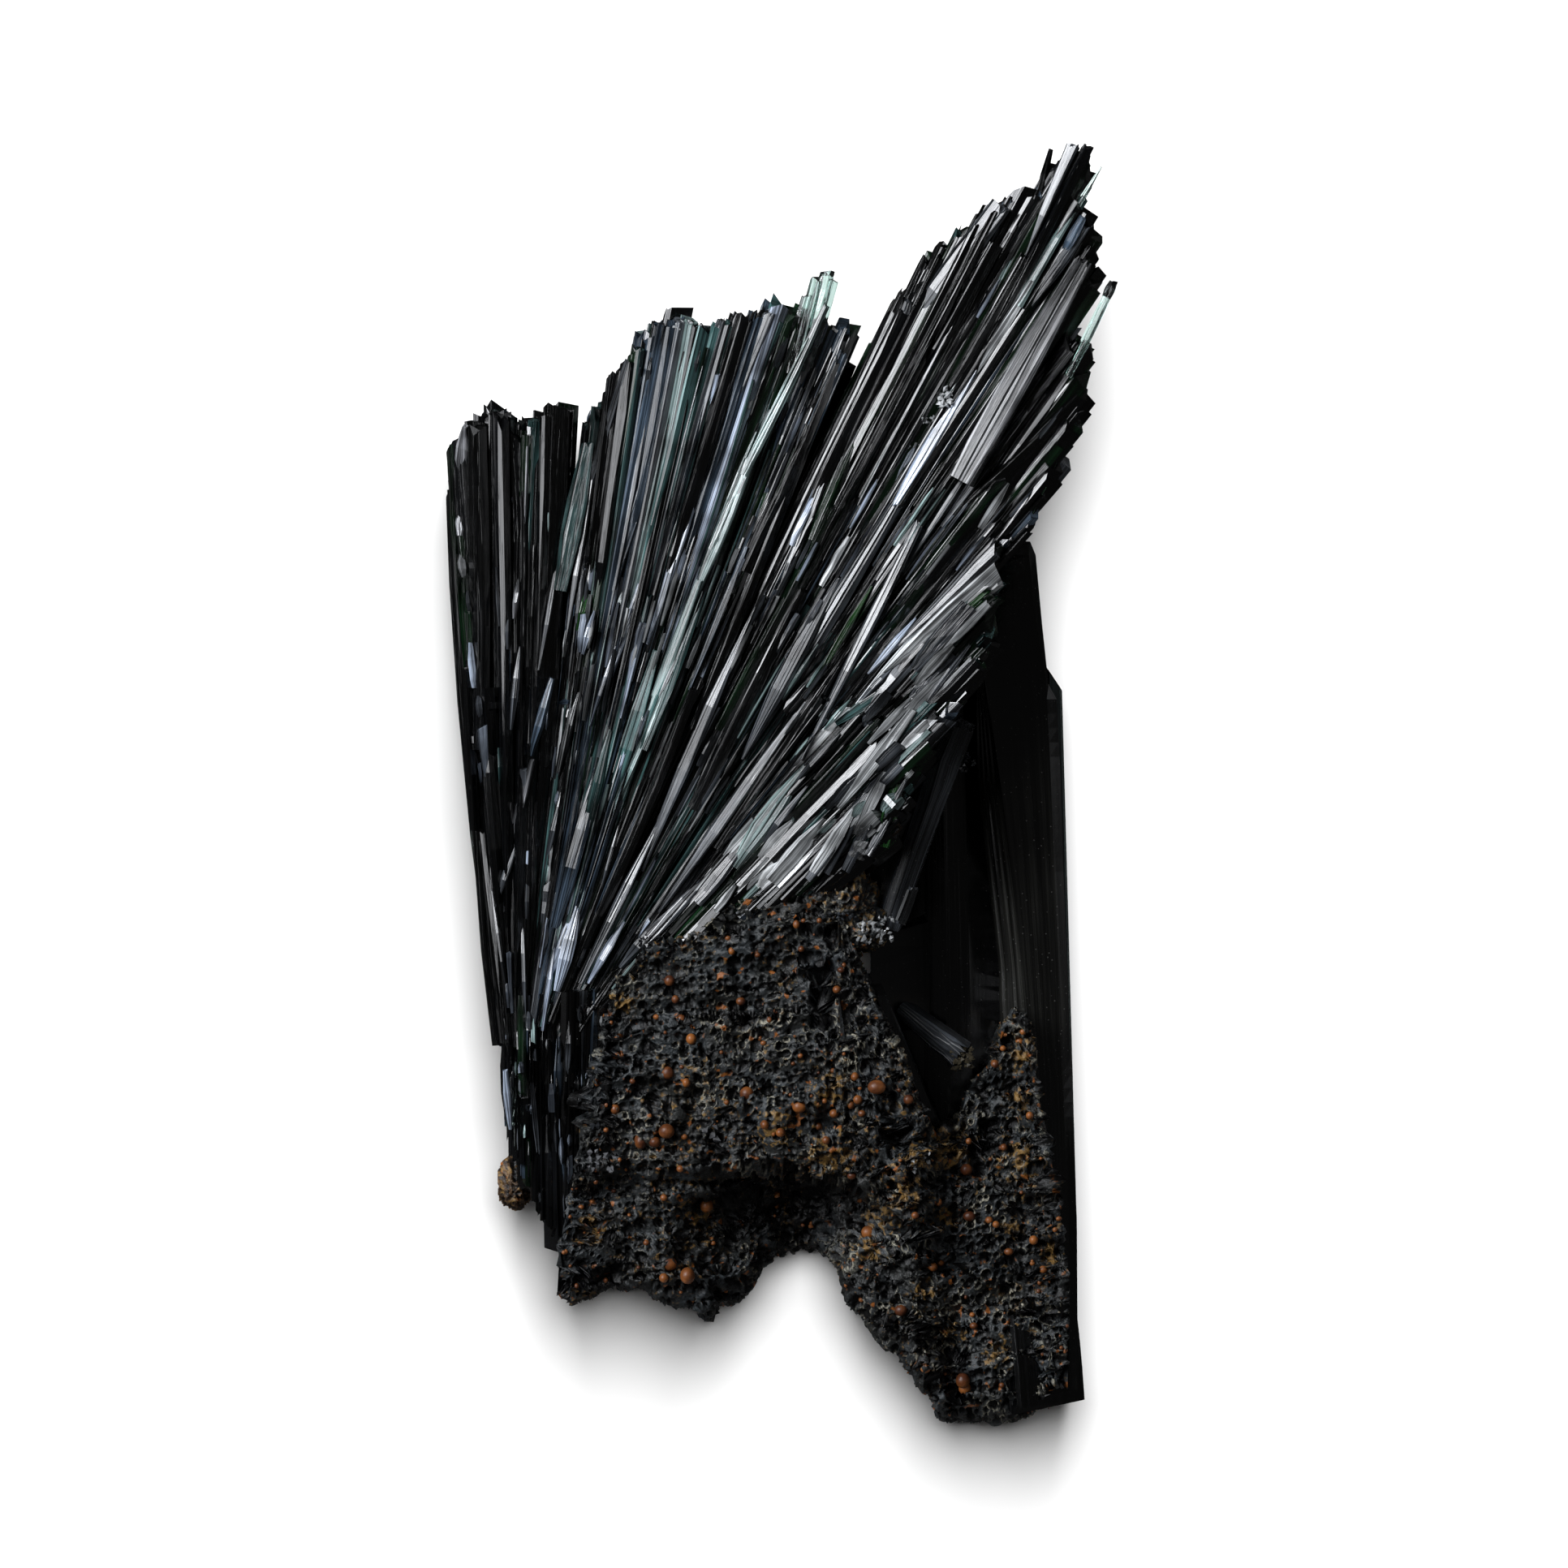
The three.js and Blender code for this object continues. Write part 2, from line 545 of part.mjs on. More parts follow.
const pieces = [
  ["matrix_rock", rockSolid, siderite],
  ["left_blades", leftBlades, vivianite],
  ["middle_blades", middleBlades, vivianite],
  ["right_blades", rightBlades, vivianite],
  ["lower_blades", lowerBlades, vivianite],
  ["root_blades", rootBlades, vivianite],
  ["side_prism", clearOf(blade(sidePrism), [edgeSlab]), vivianite],
  ["edge_slab", blade(edgeSlab), vivianite],
  ["back_prism", clearOf(blade(backPrism), [sidePrism]), vivianite],
  ["flank_blade", clearOf(blade(flankBlade), [sidePrism]), vivianite],
  ["stub_crystal", clearOf(blade(stubCrystal), [flankBlade]), paleVivianite],
  ["broken_crystal", clearOf(blade(brokenCrystal), [backPrism, rimBlade]), paleVivianite],
  ["rim_blade", clearOf(blade(rimBlade), [flankBlade]), vivianite],
  ["corner_prism", clearOf(blade(cornerPrism), [sidePrism]), vivianite],
  ["brown_crust", crustOf(0), limonite],
];

const group = new THREE.Group();
for (const [name, solid, material] of pieces) {
  const mesh = new THREE.Mesh(geometryOf(mainBody(solid.subtract(ground))), material);
  mesh.name = name;
  group.add(mesh);
}

export default group;
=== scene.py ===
import bpy
import numpy as np
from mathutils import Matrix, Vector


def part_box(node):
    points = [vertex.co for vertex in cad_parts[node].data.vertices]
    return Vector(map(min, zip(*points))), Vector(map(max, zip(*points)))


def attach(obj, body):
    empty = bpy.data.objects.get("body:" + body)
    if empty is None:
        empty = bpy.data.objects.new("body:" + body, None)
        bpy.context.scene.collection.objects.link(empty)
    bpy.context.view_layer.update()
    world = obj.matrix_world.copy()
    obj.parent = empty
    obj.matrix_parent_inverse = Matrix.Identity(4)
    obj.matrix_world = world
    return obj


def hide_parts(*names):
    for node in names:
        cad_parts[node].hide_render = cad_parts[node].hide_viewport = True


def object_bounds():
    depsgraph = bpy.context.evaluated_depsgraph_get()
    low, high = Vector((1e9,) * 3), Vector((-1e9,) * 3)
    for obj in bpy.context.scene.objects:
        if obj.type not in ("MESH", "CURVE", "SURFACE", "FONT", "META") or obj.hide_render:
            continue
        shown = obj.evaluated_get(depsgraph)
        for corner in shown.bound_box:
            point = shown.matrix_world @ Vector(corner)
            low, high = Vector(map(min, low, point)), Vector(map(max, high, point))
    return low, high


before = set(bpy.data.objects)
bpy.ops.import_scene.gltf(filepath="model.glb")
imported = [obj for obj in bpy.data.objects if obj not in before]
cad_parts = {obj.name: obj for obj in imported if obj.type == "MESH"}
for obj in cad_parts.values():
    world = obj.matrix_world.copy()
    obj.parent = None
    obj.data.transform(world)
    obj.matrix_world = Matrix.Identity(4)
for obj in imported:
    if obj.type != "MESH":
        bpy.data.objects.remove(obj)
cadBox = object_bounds()
mm = 0.001               # every length below is in millimetres

# camera, looking straight down with +Y up in the picture
viewFrame = {
    "centre": (0.16, 0.53),
    "fieldWidth": 158.7,     # seen from edge to edge at focusHeight
    "focusHeight": 18.0,
    "lens": 300.0,
    "sensor": 36.0,
}


def makeCamera(view):
    camera = bpy.data.objects.new("camera", bpy.data.cameras.new("camera"))
    camera.data.lens = view["lens"]
    camera.data.sensor_width = view["sensor"]
    distance = view["fieldWidth"] * view["lens"] / view["sensor"]
    x, y = view["centre"]
    camera.location = (x * mm, y * mm, (distance + view["focusHeight"]) * mm)
    camera.data.clip_end = 20
    bpy.context.scene.collection.objects.link(camera)
    bpy.context.scene.camera = camera


makeCamera(viewFrame)
print("stage: camera")


# small tools for arrays

def unit(vectors):
    return vectors / np.linalg.norm(vectors, axis=-1, keepdims=True)


def smoothStep(low, high, value):
    t = np.clip((value - low) / (high - low), 0, 1)
    return t * t * (3 - 2 * t)


def mix(a, b, share):
    return a + (b - a) * share


def alongLine(line, share):
    # the point at each share of a polyline's length
    line = np.array(line, float)
    steps = np.linalg.norm(np.diff(line, axis=0), axis=1)
    places = np.concatenate([[0], np.cumsum(steps)])
    wanted = share * places[-1]
    return np.stack([np.interp(wanted, places, line[:, k]) for k in range(line.shape[1])], -1)


def lumps(x, y):
    # smooth noise from -1 to 1: random corner values of a unit grid, blended by smooth steps
    def corner(i, j):
        value = np.sin(i * 127.1 + j * 311.7) * 43758.5453
        return 2 * (value - np.floor(value)) - 1
    i, j = np.floor(x), np.floor(y)
    s, t = smoothStep(0, 1, x - i), smoothStep(0, 1, y - j)
    near = mix(corner(i, j), corner(i + 1, j), s)
    far = mix(corner(i, j + 1), corner(i + 1, j + 1), s)
    return mix(near, far, t)


# materials

def addNode(tree, kind, inputs=None, **settings):
    # one shader node: settings are its properties, inputs are values or the sockets that feed it
    node = tree.nodes.new(kind)
    for key, value in settings.items():
        setattr(node, key, value)
    for key, value in (inputs or {}).items():
        if isinstance(value, bpy.types.NodeSocket):
            tree.links.new(value, node.inputs[key])
        else:
            node.inputs[key].default_value = value
    return node


def newMaterial(name):
    material = bpy.data.materials.new(name)
    material.use_nodes = True
    tree = material.node_tree
    tree.nodes.clear()
    output = tree.nodes.new("ShaderNodeOutputMaterial")
    return material, tree, output


def finishMaterial(material, tree, output, inputs):
    shader = addNode(tree, "ShaderNodeBsdfPrincipled", inputs)
    tree.links.new(shader.outputs[0], output.inputs["Surface"])
    return material


def objectPlace(tree):
    return addNode(tree, "ShaderNodeTexCoord").outputs["Object"]


def noiseOf(tree, vector, scale, detail=3.0, roughness=0.55, flat=False):
    inputs = {"Vector": vector, "Scale": scale, "Detail": detail, "Roughness": roughness}
    dimensions = "2D" if flat else "3D"
    return addNode(tree, "ShaderNodeTexNoise", inputs, noise_dimensions=dimensions).outputs["Fac"]


def rampOf(tree, factor, stops):
    # a colour ramp with (position, grey or colour) stops
    node = addNode(tree, "ShaderNodeValToRGB", {"Fac": factor})
    ramp = node.color_ramp
    for k, (position, value) in enumerate(stops):
        colour = (value,) * 3 if isinstance(value, float) else value
        element = ramp.elements[k] if k < 2 else ramp.elements.new(position)
        element.position = position
        element.color = (*colour, 1)
    return node.outputs["Color"]


def mixOf(tree, factor, a, b, blend="MIX"):
    node = addNode(tree, "ShaderNodeMix", {"Factor": factor}, data_type="RGBA", blend_type=blend)
    for socket, value in zip(("A", "B"), (a, b)):
        target = [s for s in node.inputs if s.name == socket and s.type == "RGBA"][0]
        if isinstance(value, bpy.types.NodeSocket):
            tree.links.new(value, target)
        else:
            target.default_value = value
    return [s for s in node.outputs if s.type == "RGBA"][0]


def mathOf(tree, operation, a, b):
    return addNode(tree, "ShaderNodeMath", {0: a, 1: b}, operation=operation).outputs[0]


def bumpOf(tree, height, distance, below=None, strength=1.0):
    inputs = {"Height": height, "Strength": strength, "Distance": distance * mm}
    if below is not None:
        inputs["Normal"] = below
    return addNode(tree, "ShaderNodeBump", inputs).outputs["Normal"]


def attributeOf(tree, name, output="Fac"):
    return addNode(tree, "ShaderNodeAttribute", attribute_name=name).outputs[output]


def strandNoise(tree, scale, detail):
    # noise drawn out along each blade: scale is per mm across it and per mm along it
    strand = addNode(tree, "ShaderNodeUVMap", uv_map="strand").outputs["UV"]
    inputs = {"Vector": strand, "Scale": (*scale, 1)}
    stretched = addNode(tree, "ShaderNodeMapping", inputs).outputs["Vector"]
    return noiseOf(tree, stretched, 1.0, detail, flat=True)


vivianiteLook = {
    "ior": 1.62,
    "bandScale": (2.2, 0.035),    # bands per mm across a blade, and along it
    "bandSteps": 7,
    "bandHeight": 0.035,
    "lineScale": (9.0, 0.07),
    "lineHeight": 0.007,
    "patchScale": 170.0,          # per metre
    # how much of the tint shows from the low to the high places of each pattern
    "bandStops": [(0.36, 0.4), (0.66, 1.25)],
    "lineStops": [(0.36, 0.4), (0.62, 1.25)],
    "patchStops": [(0.36, 0.25), (0.68, 1.6)],
    "dust": 0.0,
    "dustScale": 1500.0,
    "dustColour": (0.30, 0.30, 0.28, 1),
}
smoothLook = {**vivianiteLook, "bandHeight": 0.006, "lineHeight": 0.0016, "patchScale": 60.0, "dust": 0.22}
riserShare = 0.16                 # of a step's width


def stairs(count, low, high):
    # ramp stops that climb from 0 to 1 in steps with short risers
    stops = []
    width = (high - low) / count
    for k in range(count):
        stops.append((low + k * width, k / count))
        stops.append((low + k * width + riserShare * width, (k + 1) / count))
    return stops


def vivianiteMaterial(name, look):
    # dark glassy crystals: the tint of each, broken up by bands and lines that run along it, and dust
    material, tree, output = newMaterial(name)
    tint = attributeOf(tree, "tint", "Color")
    place = objectPlace(tree)
    bands = strandNoise(tree, look["bandScale"], 2.0)
    lines = strandNoise(tree, look["lineScale"], 2.0)
    patches = noiseOf(tree, place, look["patchScale"], 2.0)
    steps = rampOf(tree, bands, stairs(look["bandSteps"], 0.25, 0.75))
    banded = bumpOf(tree, steps, look["bandHeight"])
    lined = bumpOf(tree, lines, look["lineHeight"], banded)
    streaks = mathOf(
        tree, "MULTIPLY", rampOf(tree, bands, look["bandStops"]), rampOf(tree, lines, look["lineStops"]),
    )
    glow = mathOf(tree, "MULTIPLY", streaks, rampOf(tree, patches, look["patchStops"]))
    colour = mixOf(tree, 1.0, tint, glow, "MULTIPLY")
    inputs = {"Vector": place, "Scale": look["dustScale"]}
    specks = addNode(tree, "ShaderNodeTexVoronoi", inputs).outputs["Distance"]
    dusty = rampOf(tree, specks, [(0.05, look["dust"]), (0.14, 0.0)])
    colour = mixOf(tree, dusty, colour, look["dustColour"])
    gloss = attributeOf(tree, "gloss")
    inputs = {"Base Color": colour, "Roughness": gloss, "IOR": look["ior"], "Normal": lined}
    return finishMaterial(material, tree, output, inputs)


clearLook = {
    "ior": 1.6,
    "roughness": 0.08,
    "colour": (0.86, 0.95, 0.94, 1),
    "absorbs": (0.58, 0.68, 0.65, 1),
    "density": 1500.0,            # per metre
    "ridgeScale": (3.0, 0.1),
    "ridgeHeight": 0.04,
}


def clearMaterial(look):
    # clear blades: light passes through and is tinted on the way
    material, tree, output = newMaterial("clearVivianite")
    ridged = bumpOf(tree, strandNoise(tree, look["ridgeScale"], 2.0), look["ridgeHeight"])
    inputs = {
        "Base Color": look["colour"],
        "Roughness": look["roughness"],
        "IOR": look["ior"],
        "Transmission Weight": 1.0,
        "Normal": ridged,
    }
    absorption = {"Color": look["absorbs"], "Density": look["density"]}
    inside = addNode(tree, "ShaderNodeVolumeAbsorption", absorption)
    tree.links.new(inside.outputs[0], output.inputs["Volume"])
    return finishMaterial(material, tree, output, inputs)


def plateMaterial(name, look):
    # the same crystal for a solid that comes straight from the CAD, with its lines along look["along"]
    material, tree, output = newMaterial(name)
    place = objectPlace(tree)
    inputs = {"Vector": place, "Rotation": (0, 0, look["along"]), "Scale": look["lineScale"]}
    stretched = addNode(tree, "ShaderNodeMapping", inputs).outputs["Vector"]
    lines = noiseOf(tree, stretched, 1.0)
    colour = rampOf(tree, lines, [(0.4, look["dark"]), (0.7, look["light"])])
    inputs = {
        "Base Color": colour,
        "Roughness": look["roughness"],
        "IOR": look["ior"],
        "Normal": bumpOf(tree, lines, look["lineHeight"]),
    }
    return finishMaterial(material, tree, output, inputs)


rockLook = {
    # painted shade: the near-black colour put into pits and hollows
    "deep": (0.0012, 0.0012, 0.0012, 1),
    "body": (0.017, 0.018, 0.017, 1),
    "slate": (0.030, 0.035, 0.038, 1),
    "crest": (0.46, 0.43, 0.33, 1),
    "ochre": (0.30, 0.17, 0.045, 1),
    "rust": (0.34, 0.105, 0.014, 1),
    "roughness": 0.45,
    # sizes of the patterns, per metre
    "broadScale": 210.0,
    "middleScale": 900.0,
    "grainScale": 3600.0,
    "stainScale": 1300.0,
    "rustScale": 900.0,
    "bumpHeight": 0.10,
    # where each colour starts and is full
    "slateStops": [(0.42, 0.0), (0.6, 1.0)],
    "crestStops": [(0.18, 0.0), (0.75, 1.0)],
    "ochreStops": [(0.455, 0.0), (0.55, 0.85)],
    "rustStops": [(0.665, 0.0), (0.71, 0.85)],
    "shadeStops": [(0.46, 1.0), (0.56, 0.5)],
}
crustLook = {
    **rockLook,
    "body": (0.035, 0.018, 0.008, 1),
    "slate": (0.060, 0.030, 0.012, 1),
    "crest": (0.22, 0.13, 0.06, 1),
}


def rockMaterial(name, look):
    # crumbly siderite: grey body, cream crests, patches of ochre and rust, and painted shade that turns the
    # pits and hollows black
    material, tree, output = newMaterial(name)
    place = objectPlace(tree)
    crest, hollowShade, stain = (attributeOf(tree, name) for name in ("crest", "hollowShade", "stain"))
    broad = noiseOf(tree, place, look["broadScale"], 2.0)
    middle = noiseOf(tree, place, look["middleScale"], 3.0, 0.6)
    grain = noiseOf(tree, place, look["grainScale"], 3.0, 0.7)
    body = mixOf(tree, rampOf(tree, broad, look["slateStops"]), look["body"], look["slate"])
    speckled = mixOf(tree, 1.0, body, rampOf(tree, grain, [(0.35, 0.3), (0.7, 2.2)]), "MULTIPLY")
    dusty = mathOf(tree, "MULTIPLY", crest, rampOf(tree, grain, [(0.3, 0.25), (0.6, 1.25)]))
    withCrests = mixOf(tree, rampOf(tree, dusty, look["crestStops"]), speckled, look["crest"])
    stained = mathOf(tree, "MULTIPLY", noiseOf(tree, place, look["stainScale"], 3.0), stain)
    withOchre = mixOf(tree, rampOf(tree, stained, look["ochreStops"]), withCrests, look["ochre"])
    rusty = rampOf(tree, noiseOf(tree, place, look["rustScale"], 1.0), look["rustStops"])
    withRust = mixOf(tree, rusty, withOchre, look["rust"])
    # painted shade: pits and hollows turn near black, less so in the ochre patches
    shade = mathOf(tree, "MULTIPLY", hollowShade, rampOf(tree, stained, look["shadeStops"]))
    colour = mixOf(tree, shade, withRust, look["deep"])
    rough = bumpOf(tree, grain, look["bumpHeight"], bumpOf(tree, middle, look["bumpHeight"]))
    inputs = {"Base Color": colour, "Roughness": look["roughness"], "Normal": rough}
    return finishMaterial(material, tree, output, inputs)


spheruleLook = {
    "dark": (0.085, 0.024, 0.008),
    "light": (0.34, 0.115, 0.026),
    "patchScale": 330.0,
    "grainScale": 3000.0,
    "grainHeight": 0.05,
    "roughness": 0.42,
}


def spheruleMaterial(look):
    # orange-brown siderite balls, waxy, some darker
    material, tree, output = newMaterial("orangeSiderite")
    place = objectPlace(tree)
    patches = noiseOf(tree, place, look["patchScale"])
    colour = rampOf(tree, patches, [(0.38, look["dark"]), (0.64, look["light"])])
    rough = bumpOf(tree, noiseOf(tree, place, look["grainScale"]), look["grainHeight"])
    inputs = {"Base Color": colour, "Roughness": look["roughness"], "Normal": rough}
    return finishMaterial(material, tree, output, inputs)


def floorMaterial(colour):
    material, tree, output = newMaterial("paleFloor")
    shader = addNode(tree, "ShaderNodeBsdfDiffuse", {"Color": colour})
    tree.links.new(shader.outputs[0], output.inputs["Surface"])
    return material


plateLook = {"ior": 1.62, "lineScale": (1800.0, 40.0, 1800.0), "lineHeight": 0.006}
plateLooks = {
    "edgeSlab": {
        **plateLook, "dark": (0.010, 0.016, 0.016), "light": (0.05, 0.075, 0.075),
        "roughness": 0.22, "along": 0.03,
    },
    "rimBlade": {
        **plateLook, "dark": (0.002, 0.002, 0.002), "light": (0.012, 0.013, 0.014),
        "roughness": 0.18, "along": 0.40,
    },
}
materials = {
    "vivianite": vivianiteMaterial("vivianite", vivianiteLook),
    "smooth": vivianiteMaterial("smoothVivianite", smoothLook),
    **{name: plateMaterial(name, look) for name, look in plateLooks.items()},
    "clear": clearMaterial(clearLook),
    "rock": rockMaterial("pittedSiderite", rockLook),
    "crust": rockMaterial("rustySiderite", crustLook),
    "spherule": spheruleMaterial(spheruleLook),
}
print("stage: materials")


# floor and light

studio = {
    "floorSize": 3.0,            # half its side, in metres
    "floorColour": (0.85, 0.85, 0.85, 1),
    "world": 0.03,
    "softbox": {"toward": (-0.62, 0.33, 0.71), "distance": 600, "size": 440, "power": 2.9},
    "core": {"toward": (-0.62, 0.33, 0.71), "distance": 590, "size": 190, "power": 1.5},
    "fill": {"toward": (0.60, 0.20, 0.77), "distance": 700, "size": 300, "power": 0.14},
    "overhead": {"toward": (0.01, 0.38, 0.92), "distance": 520, "size": 260, "sizeY": 500, "power": 6.2},
    "lightColour": (0.94, 0.96, 1.0),
}
keyToward = unit(np.array(studio["softbox"]["toward"]))
mirror = unit(keyToward + np.array([0.0, 0.0, 1.0]))     # a face with this normal shines at the camera


def addSoftbox(name, look, colour):
    light = bpy.data.lights.new(name, "AREA")
    light.shape = "RECTANGLE"
    light.size = look["size"] * mm
    light.size_y = look.get("sizeY", look["size"]) * mm
    light.energy = look["power"]
    light.color = colour
    softbox = bpy.data.objects.new(name, light)
    softbox.location = unit(np.array(look["toward"])) * look["distance"] * mm
    softbox.rotation_mode = "QUATERNION"
    softbox.rotation_quaternion = softbox.location.to_track_quat("Z", "Y")
    bpy.context.scene.collection.objects.link(softbox)
    return softbox


def makeStudio(look):
    size = look["floorSize"]
    mesh = bpy.data.meshes.new("floor")
    corners = [(-size, -size, 0), (size, -size, 0), (size, size, 0), (-size, size, 0)]
    mesh.from_pydata(corners, [], [(0, 1, 2, 3)])
    mesh.materials.append(floorMaterial(look["floorColour"]))
    floor = bpy.data.objects.new("floor", mesh)
    floor.visible_glossy = False
    bpy.context.scene.collection.objects.link(floor)
    # the overhead light is for the floor alone, and the others are for the specimen alone
    for name in ("softbox", "core", "fill", "overhead"):
        softbox = addSoftbox(name, look[name], look["lightColour"] if name != "overhead" else (1, 1, 1))
        reached = bpy.data.collections.new(f"{name}Reach")
        reached.objects.link(floor)
        state = "INCLUDE" if name == "overhead" else "EXCLUDE"
        reached.collection_objects[0].light_linking.link_state = state
        softbox.light_linking.receiver_collection = reached
    world = bpy.data.worlds.new("world")
    world.use_nodes = True
    world.node_tree.nodes["Background"].inputs["Color"].default_value = (1, 1, 1, 1)
    world.node_tree.nodes["Background"].inputs["Strength"].default_value = look["world"]
    bpy.context.scene.world = world
    bpy.context.scene.view_settings.view_transform = "Standard"


makeStudio(studio)
print("stage: floor and light")


# putting arrays into pieces

def makePiece(name, points, faces, material, nodes=(), strand=None, fields=None, smooth=False,
              flatEnds=0):
    mesh = bpy.data.meshes.new(name)
    mesh.from_pydata((points * mm).tolist(), [], faces)
    if strand is not None:
        layer = mesh.uv_layers.new(name="strand")
        layer.data.foreach_set("uv", strand.astype(np.float32).ravel())
    for key, values in (fields or {}).items():
        isColour = values.ndim == 2
        kind = "FLOAT_COLOR" if isColour else "FLOAT"
        attribute = mesh.attributes.new(key, kind, "POINT")
        attribute.data.foreach_set("color" if isColour else "value", values.astype(np.float32).ravel())
    mesh.materials.append(material)
    if smooth:
        mesh.shade_smooth()
        for face in mesh.polygons[len(faces) - flatEnds:]:
            face.use_smooth = False
    mesh.update()
    piece = bpy.data.objects.new(name, mesh)
    bpy.context.scene.collection.objects.link(piece)
    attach(piece, "root")
    if nodes:
        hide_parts(*nodes)
    print(f"piece: {name}, {len(mesh.polygons)} faces")


# blades

tints = {
    "black": (0.0018, 0.0020, 0.0024),
    "brown": (0.0078, 0.0078, 0.0070),
    "sand": (0.22, 0.185, 0.12),
    "deepGreen": (0.004, 0.016, 0.006),
    "green": (0.014, 0.070, 0.014),
    "leaf": (0.06, 0.13, 0.08),
    "teal": (0.046, 0.100, 0.098),
    # painted glow and highlight: pale teal where light shines through the spray, and on glints
    "tealHighlight": (0.30, 0.41, 0.40),
    "blue": (0.044, 0.064, 0.090),
    # painted highlight: pale blue-white for glints and bright blue bands
    "blueHighlight": (0.38, 0.44, 0.54),
    "steel": (0.065, 0.072, 0.082),
    # painted highlight: pale grey for the bright bands, the slab crystal and the chips that face the softbox
    "steelHighlight": (0.26, 0.265, 0.28),
    # white: the own colour of the white druse chips, and a painted highlight on bright blades, bands and
    # glints
    "white": (0.60, 0.62, 0.63),
    # painted highlight: near white, for the short glints of the lower spray
    "highlightWhite": (0.84, 0.86, 0.87),
}
bladeShape = {
    "flats": 5,              # level strips across the front of a blade, with a step between each two
    "stepWidth": 0.025,      # of the blade's width
    "stepHeight": 0.10,
    "stations": (0.0, 0.16, 0.38, 0.62, 0.84, 1.0),
    "twist": 4.0,            # degrees from end to end, either way
    "bow": 0.004,            # of the blade's length
    "flatShare": (0.35, 1.6),
    "edgeDrift": 0.030,      # how far the edges of the flats wander, of the width
    "unevenness": 0.03,
    "lean": 0.035,           # slope of a flat across the blade
    "bevel": (0.2, 1.3),     # slope of the flats at both sides
    "halfBack": 0.4,         # half the width of the back, of the blade's
    "ragged": 0.25,
}


def bladeFrames(root, tip):
    # directions along a blade, to its left, and out of its front
    along = unit(tip - root)
    left = unit(np.cross([0.0, 0.0, 1.0], along))
    return along, left, np.cross(along, left)


def rollToLight(root, tip):
    # the roll at which the front of a blade mirrors the softbox into a camera straight above
    _, left, front = bladeFrames(root, tip)
    return -np.arctan2(left @ mirror, front @ mirror)


